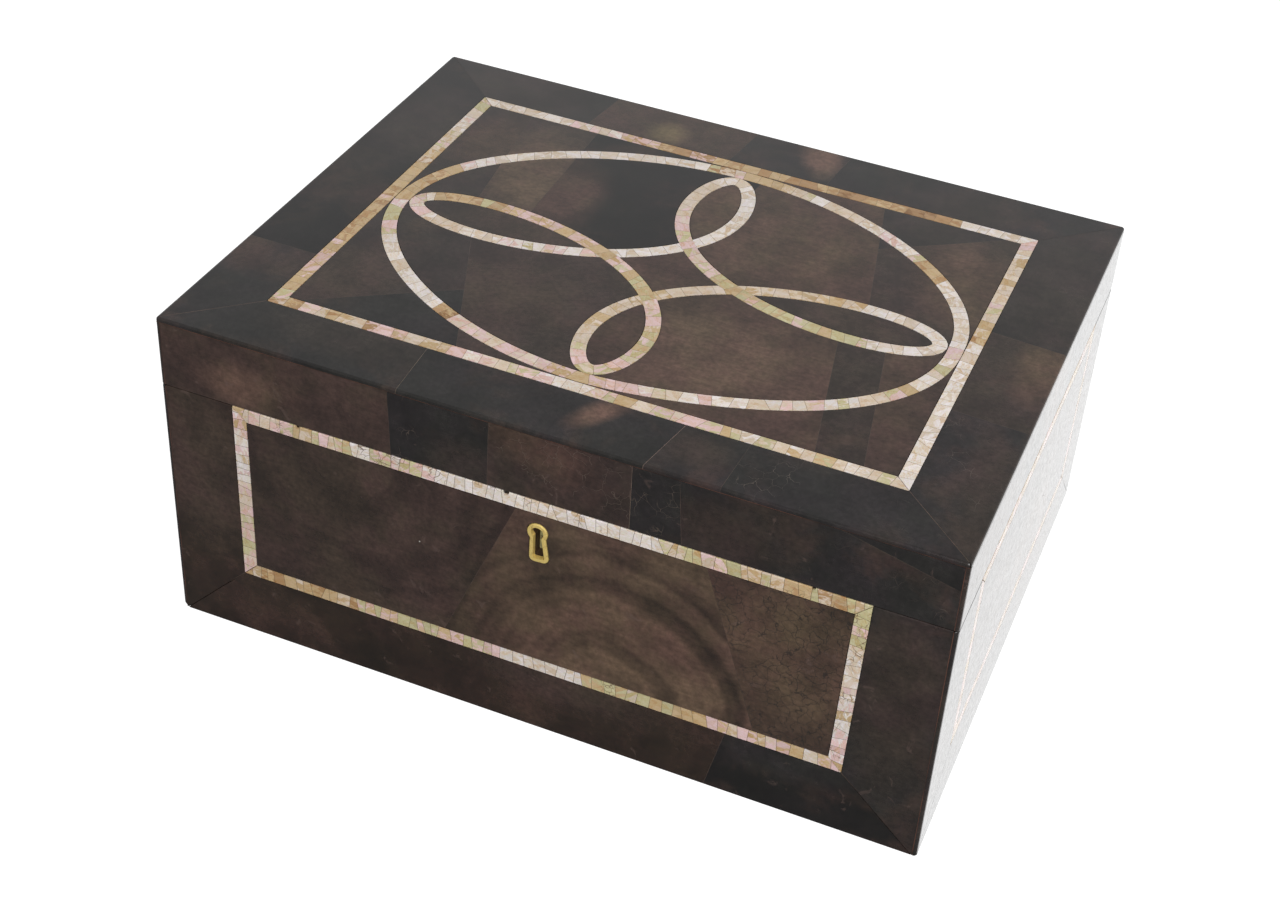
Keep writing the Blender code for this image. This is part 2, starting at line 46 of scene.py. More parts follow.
# Where the outer faces are, metres: a point, the way right and the way up seen from outside
width, depth, height = 0.360, 0.274, 0.164
seamHeight = 0.129
faces = {
    "lid": ((0, 0, height), (1, 0, 0), (0, 1, 0)),
    "front": ((0, -depth / 2, 0), (1, 0, 0), (0, 0, 1)),
    "right": ((width / 2, 0, 0), (0, 1, 0), (0, 0, 1)),
    "left": ((-width / 2, 0, 0), (0, -1, 0), (0, 0, 1)),
    "back": ((0, depth / 2, 0), (-1, 0, 0), (0, 0, 1)),
}

# Veneer and inlay sizes, millimetres. The front's right upright runs in by frontLean at its foot
inlay = {
    "band": 6.8, "bandDepth": 1.0, "glueLine": 0.3, "tileSeam": 0.16, "chipSeam": 0.17,
    "lidFrame": (145.2, 104.6), "wallFrameFoot": 34.3, "wallFrameInset": 35.0, "frontLean": 2.6,
    "mitreStart": 0.1, "lidMitreEnd": 1.4, "wallMitreEnd": (2.6, 2.0), "hollowBelow": -0.4,
    "frameGap": 0.15, "ovalGap": 0.2, "strandRoom": 0.06,
}

# Linear colours of the shell and of the glue in its seams
shellTones = {
    "black": (0.0070, 0.0062, 0.0060),
    "coffee": (0.0190, 0.0110, 0.0072),
    "charcoal": (0.0150, 0.0138, 0.0138),
    "dusk": (0.0250, 0.0190, 0.0165),
    "bark": (0.0320, 0.0225, 0.0185),
    "brown": (0.0420, 0.0275, 0.0215),
    "rust": (0.0560, 0.0340, 0.0255),
    "olive": (0.0720, 0.0470, 0.0310),
    "fawn": (0.0860, 0.0560, 0.0390),
    "tan": (0.1060, 0.0670, 0.0470),
    "moss": (0.1350, 0.0980, 0.0560),
}
glueTones = {
    "tile": (0.050, 0.038, 0.030), "pale": (0.150, 0.115, 0.090),
    "chip": (0.085, 0.052, 0.030), "lidChip": (0.200, 0.145, 0.090),
    "mitre": (0.085, 0.062, 0.048), "edge": (0.050, 0.016, 0.010), "hollow": (0.012, 0.009, 0.007),
}

# Linear colours of the pearl chips
pearlTones = {
    "cream": (0.62, 0.54, 0.45),
    "pale": (0.71, 0.68, 0.66),
    "pink": (0.66, 0.50, 0.50),
    "green": (0.50, 0.475, 0.29),
    "sand": (0.51, 0.39, 0.23),
    "tan": (0.40, 0.255, 0.13),
    "umber": (0.25, 0.14, 0.06),
}


def facePoint(face, x, y, z=0.0):
    # x, y and z in millimetres, z out of the face
    place, right, up = (Vector(part) for part in faces[face])
    return place + (right * x + up * y + right.cross(up) * z) * mm


def faceWay(face, x, y, z=0.0):
    return (facePoint(face, x, y, z) - facePoint(face, 0, 0)).normalized()


def onFace(face, point):
    place, right, up = (Vector(part) for part in faces[face])
    away = (point - place) / mm
    return Vector((away.dot(right), away.dot(up), away.dot(right.cross(up))))


# Meshes: solids are cut up as bmeshes, then gathered in a pile that becomes one piece

def cadShape(node):
    shape = bmesh.new()
    shape.from_mesh(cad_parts[node].data)
    bmesh.ops.remove_doubles(shape, verts=shape.verts, dist=1e-6)
    return shape


def keepBeyond(shape, place, normal):
    everything = shape.verts[:] + shape.edges[:] + shape.faces[:]
    cut = bmesh.ops.bisect_plane(
        shape, geom=everything, dist=1e-8, plane_co=place, plane_no=-normal, clear_outer=True)
    rim = [part for part in cut["geom_cut"] if isinstance(part, bmesh.types.BMEdge)]
    if rim:
        bmesh.ops.holes_fill(shape, edges=rim, sides=0)
    return shape


def splitShape(shape, place, normal, gap):
    # what lies beyond the plane, the thin seam along it, and what lies before it
    step = normal * gap * mm / 2
    beyond = keepBeyond(shape.copy(), place + step, normal)
    before = keepBeyond(shape.copy(), place - step, -normal)
    seam = keepBeyond(keepBeyond(shape, place - step, normal), place + step, -normal)
    return beyond, seam, before


def prism(face, outline, low, high):
    shape = bmesh.new()
    base = shape.faces.new([shape.verts.new(facePoint(face, x, y, low)) for x, y in outline])
    raised = bmesh.ops.extrude_face_region(shape, geom=[base])["geom"]
    moved = [part for part in raised if isinstance(part, bmesh.types.BMVert)]
    bmesh.ops.translate(shape, verts=moved, vec=faceWay(face, 0, 0, 1) * (high - low) * mm)
    bmesh.ops.recalc_face_normals(shape, faces=shape.faces)
    return shape


def slab(face, sides, heights, low, high):
    (left, right), (foot, top) = sides, heights
    return prism(face, [(left, foot), (right, foot), (right, top), (left, top)], low, high)


def makeLook(core, rim=None, marks=(0, 0, 0), centre=(0, 0), reach=(40, 40), turn=0.0):
    # core and rim colours, marks for the shader, and where the growth pattern is centred
    return {
        "core": core, "rim": rim or core, "marks": marks,
        "centre": centre, "reach": reach, "turn": math.radians(turn),
    }


class Pile:
    def __init__(self, face):
        self.face = face
        self.places, self.loops = [], []
        self.cores, self.rims, self.marks, self.grains = [], [], [], []

    def take(self, shape, look, hollow=None, pick=None):
        # hollow is the colour of the floor where a bit has chipped out; pick may give another look
        first = len(self.places)
        shape.verts.index_update()
        self.places.extend(corner.co.copy() for corner in shape.verts)
        out = faceWay(self.face, 0, 0, 1)
        for side in shape.faces:
            self.loops.append([first + corner.index for corner in side.verts])
            centre = onFace(self.face, side.calc_center_median())
            sunk = hollow and side.normal.dot(out) > 0.5 and centre.z < inlay["hollowBelow"]
            chosen = (pick and pick(centre)) or look
            core = hollow if sunk else chosen["core"]
            rim = hollow if sunk else chosen["rim"]
            cosine, sine = math.cos(chosen["turn"]), math.sin(chosen["turn"])
            for corner in side.verts:
                point = onFace(self.face, corner.co)
                x = point.x - chosen["centre"][0]
                y = point.y - chosen["centre"][1]
                self.grains.append((
                    (x * cosine + y * sine) / chosen["reach"][0],
                    (y * cosine - x * sine) / chosen["reach"][1]))
                self.cores.append((*core, 1.0))
                self.rims.append((*rim, 1.0))
                self.marks.append((*chosen["marks"], 1.0))
        shape.free()

    def settle(self, name, material, nodes=()):
        mesh = bpy.data.meshes.new(name)
        mesh.from_pydata(self.places, [], self.loops)
        for title, values in (("core", self.cores), ("rim", self.rims), ("marks", self.marks)):
            layer = mesh.color_attributes.new(title, "FLOAT_COLOR", "CORNER")
            layer.data.foreach_set("color", [part for value in values for part in value])
        grain = mesh.uv_layers.new(name="grain")
        grain.data.foreach_set("uv", [part for value in self.grains for part in value])
        mesh.materials.append(material)
        piece = bpy.data.objects.new(name, mesh)
        bpy.context.scene.collection.objects.link(piece)
        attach(piece, "root")
        if nodes:
            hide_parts(*nodes)
        print("made", name, len(self.loops), "faces")


# Shader building

def addNode(tree, kind, settings=None, **inputs):
    node = tree.nodes.new("ShaderNode" + kind)
    for name, value in (settings or {}).items():
        setattr(node, name, value)
    for name, value in inputs.items():
        key = int(name[4:]) if name.startswith("slot") else name.replace("_", " ")
        if isinstance(value, bpy.types.NodeSocket):
            tree.links.new(value, node.inputs[key])
        else:
            node.inputs[key].default_value = value
    return node


def maths(tree, operation, first, second=0.5, third=0.5):
    settings = {"operation": operation}
    return addNode(tree, "Math", settings, slot0=first, slot1=second, slot2=third).outputs[0]


def times(tree, first, second):
    return maths(tree, "MULTIPLY", first, second)


def span(tree, value, low, high, newLow=0.0, newHigh=1.0):
    # value from low..high to newLow..newHigh, eased at both ends
    settings = {"interpolation_type": "SMOOTHSTEP"}
    return addNode(tree, "MapRange", settings, Value=value, From_Min=low, From_Max=high,
                   To_Min=newLow, To_Max=newHigh).outputs["Result"]


def noise(tree, place, scale, **more):
    return addNode(tree, "TexNoise", Vector=place, Scale=scale, **more).outputs[0]


def triple(tree, value):
    # a grey, or the same step along all three axes
    return addNode(tree, "CombineXYZ", X=value, Y=value, Z=value).outputs[0]


def shifted(tree, place, seed):
    # moves the textures, so that each tile and chip gets its own part of them
    step = triple(tree, seed)
    return addNode(tree, "VectorMath", {"operation": "ADD"}, slot0=place, slot1=step).outputs[0]


def blendColour(tree, factor, first, second, kind="MIX"):
    settings = {"data_type": "RGBA", "blend_type": kind}
    node = addNode(tree, "Mix", settings, slot0=factor, slot6=first, slot7=second)
    return node.outputs[2]


def startGroup(name, inputs, outputs):
    tree = bpy.data.node_groups.new(name, "ShaderNodeTree")
    for title, kind, value in inputs:
        socket = tree.interface.new_socket(title, in_out="INPUT", socket_type="NodeSocket" + kind)
        if value is not None:
            socket.default_value = value
    for title, kind in outputs:
        tree.interface.new_socket(title, in_out="OUTPUT", socket_type="NodeSocket" + kind)
    return tree, tree.nodes.new("NodeGroupInput").outputs, tree.nodes.new("NodeGroupOutput").inputs


def useGroup(tree, group, **inputs):
    return addNode(tree, "Group", {"node_tree": group}, **inputs).outputs


def makeGrowthGroup():
    # cloudy colour of one shell tile; high arcs give crisp concentric growth lines
    tree, given, result = startGroup("shell growth", [
        ("Grain", "Vector", None), ("Place", "Vector", None),
        ("Core", "Color", (0.05, 0.04, 0.03, 1)), ("Rim", "Color", (0.01, 0.01, 0.01, 1)),
        ("Warm", "Color", (0.06, 0.035, 0.026, 1)), ("Arcs", "Float", 0.5),
        ("Seed", "Float", 0.0), ("Flakes", "Float", 0.0),
    ], [("Color", "Color"), ("Sheen", "Float")])
    place = shifted(tree, given["Place"], given["Seed"])
    arcs = given["Arcs"]
    swirl = noise(tree, place, 20.0, Detail=4.0, Roughness=0.55)
    grain = given["Grain"]
    away = addNode(tree, "VectorMath", {"operation": "LENGTH"}, slot0=grain).outputs["Value"]
    loose = maths(tree, "MULTIPLY_ADD", arcs, -1.15, 1.35)
    warp = times(tree, maths(tree, "SUBTRACT", swirl, 0.5), loose)
    radius = maths(tree, "ADD", away, warp)
    inside = span(tree, radius, maths(tree, "MULTIPLY_ADD", arcs, 0.55, 0.30),
                  maths(tree, "MULTIPLY_ADD", arcs, -0.42, 1.62), 1, 0)
    blotch = noise(tree, place, 30.0, Detail=5.0, Roughness=0.6, Distortion=0.5)
    warmth = span(tree, blotch, 0.46, 0.70, 0.0, 0.42)
    warmed = blendColour(tree, warmth, given["Rim"], given["Warm"])
    colour = blendColour(tree, inside, warmed, given["Core"])

    # a dark arc at the core's edge with a fainter one outside it, one halfway in, and fine lines
    outer = times(tree, span(tree, radius, 0.84, 0.97), span(tree, radius, 0.99, 1.13, 1, 0))
    second = times(tree, span(tree, radius, 1.14, 1.20), span(tree, radius, 1.22, 1.34, 0.7, 0))
    inner = times(tree, span(tree, radius, 0.36, 0.46), span(tree, radius, 0.49, 0.62, 0.75, 0))
    lines = maths(tree, "SINE", times(tree, radius, 64.0))
    fine = maths(tree, "MULTIPLY_ADD", lines, 0.10, 0.10)
    bands = maths(tree, "MAXIMUM", maths(tree, "MAXIMUM", outer, second), inner)
    bands = times(tree, bands, span(tree, blotch, 0.36, 0.60, 0.70, 1.0))
    along = addNode(tree, "SeparateXYZ", Vector=grain).outputs["X"]
    bands = times(tree, bands, span(tree, along, -0.9, 0.3, 0.35, 1.0))
    dim = span(tree, along, -1.2, 0.1, 0.5, 0.0)
    amount = maths(tree, "ADD", bands, maths(tree, "ADD", fine, dim))
    amount = times(tree, amount, maths(tree, "POWER", arcs, 1.6))
    shade = maths(tree, "MULTIPLY_ADD", amount, -0.66, 1.0)
    mottle = noise(tree, place, 46.0, Detail=6.0, Roughness=0.66)
    dapple = noise(tree, place, 420.0, Detail=3.0, Roughness=0.65)
    cloud = span(tree, mottle, 0.28, 0.72, 0.66, 1.38)
    cloud = times(tree, cloud, span(tree, dapple, 0.2, 0.8, 0.74, 1.26))
    fibres = addNode(tree, "Mapping", Vector=grain, Scale=(2.5, 26.0, 1.0)).outputs[0]
    fibre = noise(tree, fibres, 1.0, Detail=4.0, Distortion=0.4)
    cloud = times(tree, cloud, span(tree, fibre, 0.25, 0.75, 0.90, 1.10))
    shade = times(tree, shade, cloud)
    colour = blendColour(tree, 1.0, colour, triple(tree, shade), "MULTIPLY")
    drift = noise(tree, place, 26.0, Detail=5.0, Roughness=0.7)
    tint = blendColour(tree, span(tree, drift, 0.38, 0.62),
                       (1.08, 0.94, 1.00, 1), (0.99, 1.00, 0.90, 1))
    colour = blendColour(tree, 1.0, colour, tint, "MULTIPLY")

    # a few lighter pinkish flakes where the lacquer has lifted
    torn = noise(tree, place, 105.0, Detail=5.0, Roughness=0.6, Distortion=0.8)
    flake = times(tree, span(tree, torn, 0.63, 0.71), given["Flakes"])
    colour = blendColour(tree, flake, colour, (0.125, 0.082, 0.070, 1))
    tree.links.new(colour, result["Color"])
    tree.links.new(dapple, result["Sheen"])
    return tree


def makeCrackleGroup():
    # fine cracks in patches: mask 1 on a crack
    tree, given, result = startGroup("crackle", [
        ("Place", "Vector", None), ("Cells", "Float", 130.0), ("Width", "Float", 0.02),
        ("Patches", "Float", 20.0), ("Amount", "Float", 0.5),
    ], [("Mask", "Float")])
    wobble = addNode(tree, "TexNoise", Vector=given["Place"], Scale=160.0, Detail=2.0)
    push = addNode(tree, "VectorMath", {"operation": "MULTIPLY_ADD"}, slot0=wobble.outputs["Color"])
    push.inputs[1].default_value = (0.006, 0.006, 0.006)
    tree.links.new(given["Place"], push.inputs[2])
    cells = addNode(tree, "TexVoronoi", {"feature": "DISTANCE_TO_EDGE"}, Vector=push.outputs[0],
                    Scale=given["Cells"], Randomness=0.9)
    near = maths(tree, "DIVIDE", cells.outputs["Distance"], given["Width"])
    line = span(tree, near, 0.5, 1.0, 1, 0)
    patch = noise(tree, given["Place"], given["Patches"], Detail=3.0)
    broken = noise(tree, given["Place"], 95.0, Detail=1.0)
    level = maths(tree, "ADD", patch, times(tree, broken, 0.9))
    level = maths(tree, "ADD", level, maths(tree, "MULTIPLY_ADD", given["Amount"], 0.75, -1.40))
    mask = times(tree, line, span(tree, level, 0.0, 0.22))
    tree.links.new(mask, result["Mask"])
    return tree


def makeSpeckGroup():
    # sparse dust specks: mask 1 on a speck
    tree, given, result = startGroup("specks", [
        ("Place", "Vector", None), ("Cells", "Float", 90.0), ("Size", "Float", 0.035),
        ("Share", "Float", 0.06),
    ], [("Mask", "Float")])
    dots = addNode(tree, "TexVoronoi", Vector=given["Place"], Scale=given["Cells"])
    dot = maths(tree, "LESS_THAN", dots.outputs["Distance"], given["Size"])
    pick = addNode(tree, "SeparateColor", Color=dots.outputs["Color"]).outputs[0]
    tree.links.new(times(tree, dot, maths(tree, "LESS_THAN", pick, given["Share"])),
                   result["Mask"])
    return tree


def makeNacreGroup():
    # one pearl chip: two colours in soft drifts and small shards, with a faint pink and green sheen
    tree, given, result = startGroup("nacre", [
        ("Grain", "Vector", None), ("Core", "Color", (0.6, 0.5, 0.4, 1)),
        ("Rim", "Color", (0.6, 0.5, 0.4, 1)), ("Seed", "Float", 0.0),
    ], [("Color", "Color"), ("Height", "Float")])
    moved = shifted(tree, given["Grain"], given["Seed"])
    drift = noise(tree, moved, 1.4, Detail=5.0, Roughness=0.6, Distortion=1.2)
    fine = noise(tree, moved, 3.6, Detail=4.0, Distortion=1.8)
    shards = addNode(tree, "TexVoronoi", Vector=moved, Scale=1.25, Randomness=1.0)
    picks = addNode(tree, "SeparateColor", Color=shards.outputs["Color"]).outputs
    level = maths(tree, "ADD", drift, maths(tree, "MULTIPLY_ADD", picks[0], 0.30, -0.15))
    colour = blendColour(tree, span(tree, level, 0.42, 0.60), given["Core"], given["Rim"])
    tilt = maths(tree, "ADD", fine, maths(tree, "MULTIPLY_ADD", picks[1], 0.26, -0.13))
    tints = addNode(tree, "ValToRGB", Fac=tilt)
    ramp = tints.color_ramp
    ramp.elements[0].position, ramp.elements[0].color = 0.30, (0.88, 0.73, 0.52, 1)
    ramp.elements[1].position, ramp.elements[1].color = 0.72, (1.08, 1.08, 1.08, 1)
    for position, tint in ((0.42, (1.02, 0.90, 0.88, 1)), (0.50, (0.95, 0.98, 0.80, 1)),
                           (0.59, (1.06, 0.95, 1.0, 1))):
        ramp.elements.new(position).color = tint
    colour = blendColour(tree, 1.0, colour, tints.outputs["Color"], "MULTIPLY")
    tree.links.new(colour, result["Color"])
    tree.links.new(fine, result["Height"])
    return tree


growthGroup = makeGrowthGroup()
crackleGroup = makeCrackleGroup()
speckGroup = makeSpeckGroup()
nacreGroup = makeNacreGroup()


def startMaterial(name):
    material = bpy.data.materials.new(name)
    material.use_nodes = True
    tree = material.node_tree
    return material, tree, tree.nodes["Principled BSDF"]


def pieceInputs(tree):
    place = addNode(tree, "TexCoord").outputs["Object"]
    grain = addNode(tree, "UVMap", {"uv_map": "grain"}).outputs[0]
    core, rim, marks = (addNode(tree, "Attribute", {"attribute_name": name}).outputs["Color"]
                        for name in ("core", "rim", "marks"))
    return place, grain, core, rim, addNode(tree, "SeparateColor", Color=marks).outputs


def addBump(tree, shader, level, strength, distance):
    bump = addNode(tree, "Bump", Strength=strength, Distance=distance, Height=level)
    tree.links.new(bump.outputs[0], shader.inputs["Normal"])


def layCracks(tree, look, place, amount, colour):
    # the cracks' mask, and the colour with the cracks laid over it
    mask = useGroup(tree, crackleGroup, Place=place, Cells=look["cells"], Width=look["crackWidth"],
                    Patches=look["patches"], Amount=amount)["Mask"]
    strength = times(tree, mask, look["crackStrength"])
    return mask, blendColour(tree, strength, colour, (*look["crackColour"], 1))


def makeShellMaterial(name, look):
    material, tree, shader = startMaterial(name)
    place, grain, core, rim, marks = pieceInputs(tree)
    growth = useGroup(tree, growthGroup, Grain=grain, Place=place, Core=core, Rim=rim,
                      Arcs=marks[0], Seed=marks[1], Flakes=look["flakes"])
    cracks, colour = layCracks(tree, look, place, marks[2], growth["Color"])
    specks = useGroup(tree, speckGroup, Place=place, Size=look["speckSize"],
                      Share=look["speckShare"])
    colour = blendColour(tree, specks["Mask"], colour, (0.5, 0.48, 0.45, 1))
    tree.links.new(colour, shader.inputs["Base Color"])
    rough = span(tree, growth["Sheen"], 0.3, 0.7, look["roughness"][0], look["roughness"][1])
    tree.links.new(maths(tree, "MULTIPLY_ADD", cracks, 0.2, rough), shader.inputs["Roughness"])
    shader.inputs["IOR"].default_value = 1.5
    shader.inputs["Specular IOR Level"].default_value = look["sheen"]
    addBump(tree, shader, maths(tree, "SUBTRACT", 1.0, cracks), 0.25, 0.00005)
    return material


def makePearlMaterial(name, look):
    material, tree, shader = startMaterial(name)
    place, grain, core, rim, marks = pieceInputs(tree)
    nacre = useGroup(tree, nacreGroup, Grain=grain, Core=core, Rim=rim, Seed=marks[1])
    cracks, colour = layCracks(tree, look, place, marks[2], nacre["Color"])
    tree.links.new(colour, shader.inputs["Base Color"])
    rough = span(tree, nacre["Height"], 0.3, 0.7, look["roughness"][0], look["roughness"][1])
    tree.links.new(rough, shader.inputs["Roughness"])
    shader.inputs["Specular IOR Level"].default_value = look["sheen"]
    addBump(tree, shader, maths(tree, "MULTIPLY_ADD", cracks, -1.0, nacre["Height"]), 0.12, 0.0001)
    return material


lidShellLook = {
    "cells": 165.0, "crackWidth": 0.013, "patches": 22.0, "crackStrength": 0.42,
    "crackColour": (0.16, 0.125, 0.10), "speckSize": 0.030, "speckShare": 0.05,
    "flakes": 0.0, "roughness": (0.13, 0.20), "sheen": 0.5,
}
rimShellLook = {
    "cells": 150.0, "crackWidth": 0.016, "patches": 18.0, "crackStrength": 0.50,
    "crackColour": (0.11, 0.080, 0.062), "speckSize": 0.030, "speckShare": 0.04,
    "flakes": 0.35, "roughness": (0.14, 0.22), "sheen": 0.5,
}
wallShellLook = {
    "cells": 210.0, "crackWidth": 0.036, "patches": 18.0, "crackStrength": 0.70,
    "crackColour": (0.012, 0.009, 0.008), "speckSize": 0.030, "speckShare": 0.03,
    "flakes": 0.30, "roughness": (0.14, 0.22), "sheen": 0.5,
}
pearlLook = {
    "cells": 250.0, "crackWidth": 0.034, "patches": 40.0, "crackStrength": 0.85,
    "crackColour": (0.16, 0.10, 0.055), "roughness": (0.16, 0.26), "sheen": 0.5,
}
lidShell = makeShellMaterial("lidShell", lidShellLook)
rimShell = makeShellMaterial("rimShell", rimShellLook)
wallShell = makeShellMaterial("wallShell", wallShellLook)
pearl = makePearlMaterial("pearl", pearlLook)
print("shell and pearl materials made")


def makeWoodMaterial(name, look):
    material, tree, shader = startMaterial(name)
    place = addNode(tree, "TexCoord").outputs["Object"]
    stretch = addNode(tree, "Mapping", Vector=place, Scale=look["stretch"]).outputs[0]
    grain = noise(tree, stretch, look["grain"], Detail=6.0, Distortion=0.6)
    pores = noise(tree, stretch, look["grain"] * 7, Detail=2.0)
    colour = blendColour(tree, span(tree, grain, 0.3, 0.7),
                         (*look["dark"], 1), (*look["light"], 1))
    colour = blendColour(tree, span(tree, pores, 0.36, 0.44, 0.6, 0.0), colour,
                         (*look["pores"], 1))
    tree.links.new(colour, shader.inputs["Base Color"])
    tree.links.new(span(tree, pores, 0.3, 0.7, 0.62, 0.45), shader.inputs["Roughness"])
    addBump(tree, shader, pores, 0.2, 0.0002)
    return material


def makeMetalMaterial(name, look):
    material, tree, shader = startMaterial(name)
    place = addNode(tree, "TexCoord").outputs["Object"]
    tarnish = noise(tree, place, look["patches"], Detail=4.0)
    spots = noise(tree, place, look["patches"] * 5, Detail=3.0)
    amount = maths(tree, "MULTIPLY_ADD", spots, 0.5, tarnish)
    worn = span(tree, amount, look["wear"][0], look["wear"][1])
    colour = blendColour(tree, worn, (*look["bright"], 1), (*look["dull"], 1))
    tree.links.new(colour, shader.inputs["Base Color"])
    tree.links.new(span(tree, amount, 0.55, 0.95, look["roughness"][0], look["roughness"][1]),
                   shader.inputs["Roughness"])
    shader.inputs["Metallic"].default_value = look["metallic"]
    addBump(tree, shader, spots, 0.15, 0.0001)
    return material


woodLook = {
    "stretch": (0.12, 1.0, 1.0), "grain": 180.0, "dark": (0.030, 0.016, 0.009),
    "light": (0.085, 0.048, 0.027), "pores": (0.012, 0.007, 0.004),
}
stainedWood = makeWoodMaterial("stainedWood", woodLook)
sideWood = makeWoodMaterial("sideWood", {**woodLook, "stretch": (1.0, 0.12, 1.0)})
wornBrass = makeMetalMaterial("wornBrass", {
    "patches": 500.0, "wear": (0.76, 1.05), "bright": (0.95, 0.72, 0.24),
    "dull": (0.50, 0.33, 0.10), "roughness": (0.30, 0.48), "metallic": 0.55,
})
# The lock's metal is its own greenish brass made much lighter and less metallic: painted light that
# stands in for the light reaching it through the keyhole
lockPaintedLight = makeMetalMaterial("lockPaintedLight", {
    "patches": 320.0, "wear": (0.62, 0.92), "bright": (0.80, 0.74, 0.36),
    "dull": (0.20, 0.17, 0.08), "roughness": (0.36, 0.60), "metallic": 0.15,
})
for node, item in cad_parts.items():
    if node.endswith(("_board", "_rail")):
        chosen = sideWood if "_left_" in node or "_right_" in node else stainedWood
    elif node == "lock_case":
        chosen = lockPaintedLight
    elif node in ("keyhole_escutcheon", "lock_pin"):
        chosen = wornBrass
    else:
        continue
    for place in item.material_slots:
        place.material = chosen
print("wood and metal assigned")


# Oval and knot on the lid: the same curves as in the CAD, in millimetres

oval = {"flats": (2.2, 1.9, 2.2, 0.0), "swerve": 2.0, "reach": (134.7, 94.1)}
knot = {
    "sharesX": (0.519, 0.401, 0.080), "sharesY": (0.664, -0.383, -0.047), "sag": 1.7,
    "rightStray": 2.0, "leftStray": 0.5, "backStray": 1.0, "frontStray": 1.0,
    "reach": (127.6, 87.0),
}


def ovalPoint(turn):
    reachX, reachY = oval["reach"]
    quarter = int(turn % (2 * math.pi) // (math.pi / 2)) % 4
    swerve = oval["swerve"] if quarter == 3 else 0.0
    inwards = oval["flats"][quarter] * (1 - math.cos(4 * turn)) / 2 + swerve * math.sin(4 * turn)
    outward = Vector((reachY * math.cos(turn), reachX * math.sin(turn))).normalized()
    return Vector((reachX * math.cos(turn), reachY * math.sin(turn))) - outward * inwards


def knotPoint(turn):
    x = sum(share * math.cos((2 * i + 1) * turn) for i, share in enumerate(knot["sharesX"]))
    y = sum(share * math.sin((2 * i + 1) * turn) for i, share in enumerate(knot["sharesY"]))
    x, y = x * knot["reach"][0], y * knot["reach"][1]
    right, left = max(0.0, math.cos(turn)) ** 4, max(0.0, -math.cos(turn)) ** 4
    back, front = max(0.0, math.sin(turn)) ** 4, max(0.0, -math.sin(turn)) ** 4
    y -= knot["sag"] * (1 - math.cos(4 * turn)) / 2
    y -= knot["rightStray"] * right + knot["leftStray"] * left
    x -= knot["backStray"] * back + knot["frontStray"] * front
    return Vector((x, y))


def curveWay(curve, turn):
    return (curve(turn + 0.001) - curve(turn - 0.001)).normalized()


def withinFrame(point):
    # the oval may not run over the straight frame
    mostX, mostY = (part - inlay["band"] - inlay["frameGap"] for part in inlay["lidFrame"])
    return Vector((max(-mostX, min(mostX, point.x)), max(-mostY, min(mostY, point.y))))


def withinOval(point):
    # the knot's tips stay inside the oval band
    mostX, mostY = (part - inlay["band"] / 2 - inlay["ovalGap"] for part in oval["reach"])
    out = math.hypot(point.x / mostX, point.y / mostY)
    return point / out if out > 1 else point


knotLine = [knotPoint(2 * math.pi * step / 360) for step in range(360)]


def insideKnot(x, y):
    # true in the four loops and in the room between them
    inside = False
    for before, after in zip(knotLine, knotLine[1:] + knotLine[:1]):
        if (before.y > y) != (after.y > y):
            if x < before.x + (y - before.y) / (after.y - before.y) * (after.x - before.x):
                inside = not inside
    return inside


# Shell tiles. A plan is a tile, or a line across the panel with a plan on each side of it

def tile(core, rim, centre, reach, arcs, crackle, turn=0):
    return {"core": core, "rim": rim, "centre": centre, "reach": reach, "turn": turn,
            "arcs": arcs, "crackle": crackle}


def across(start, end, leftPlan, rightPlan, seam="tile"):
    # left and right as seen when going from start to end
    return {"line": (start, end), "left": leftPlan, "right": rightPlan, "seam": seam}


def inRow(first, *rest):
    # plans in a row, and between each two a line: start, end and, where it isn't plain, the seam
    if not rest:
        return first
    (start, end, *seam), *others = rest
    return across(start, end, first, inRow(*others), *seam)


def tileLook(plan):
    marks = (plan["arcs"], random.uniform(0, 9), plan["crackle"])
    return makeLook(shellTones[plan["core"]], shellTones[plan["rim"]], marks,
                    plan["centre"], plan["reach"], plan["turn"])


def layTiles(pile, shape, plan, pick=None):
    if "line" not in plan:
        pile.take(shape, tileLook(plan), pick=pick)
        return
    start, end = (Vector(point) for point in plan["line"])
    way = (end - start).normalized()
    normal = faceWay(pile.face, -way.y, way.x)
    left, seam, right = splitShape(shape, facePoint(pile.face, *start), normal, inlay["tileSeam"])
    layTiles(pile, left, plan["left"], pick)
    layTiles(pile, right, plan["right"], pick)
    pile.take(seam, makeLook(glueTones[plan["seam"]]), pick=pick)


def glueStrip(pile, start, end, thick, tone, low=-1.7, high=-0.02):
    start, end = Vector(start), Vector(end)
    way = (end - start).normalized()
    side = Vector((-way.y, way.x)) * thick / 2
    outline = [start - side, end - side, end + side, start + side]
    pile.take(prism(pile.face, outline, low, high), makeLook(glueTones[tone]))


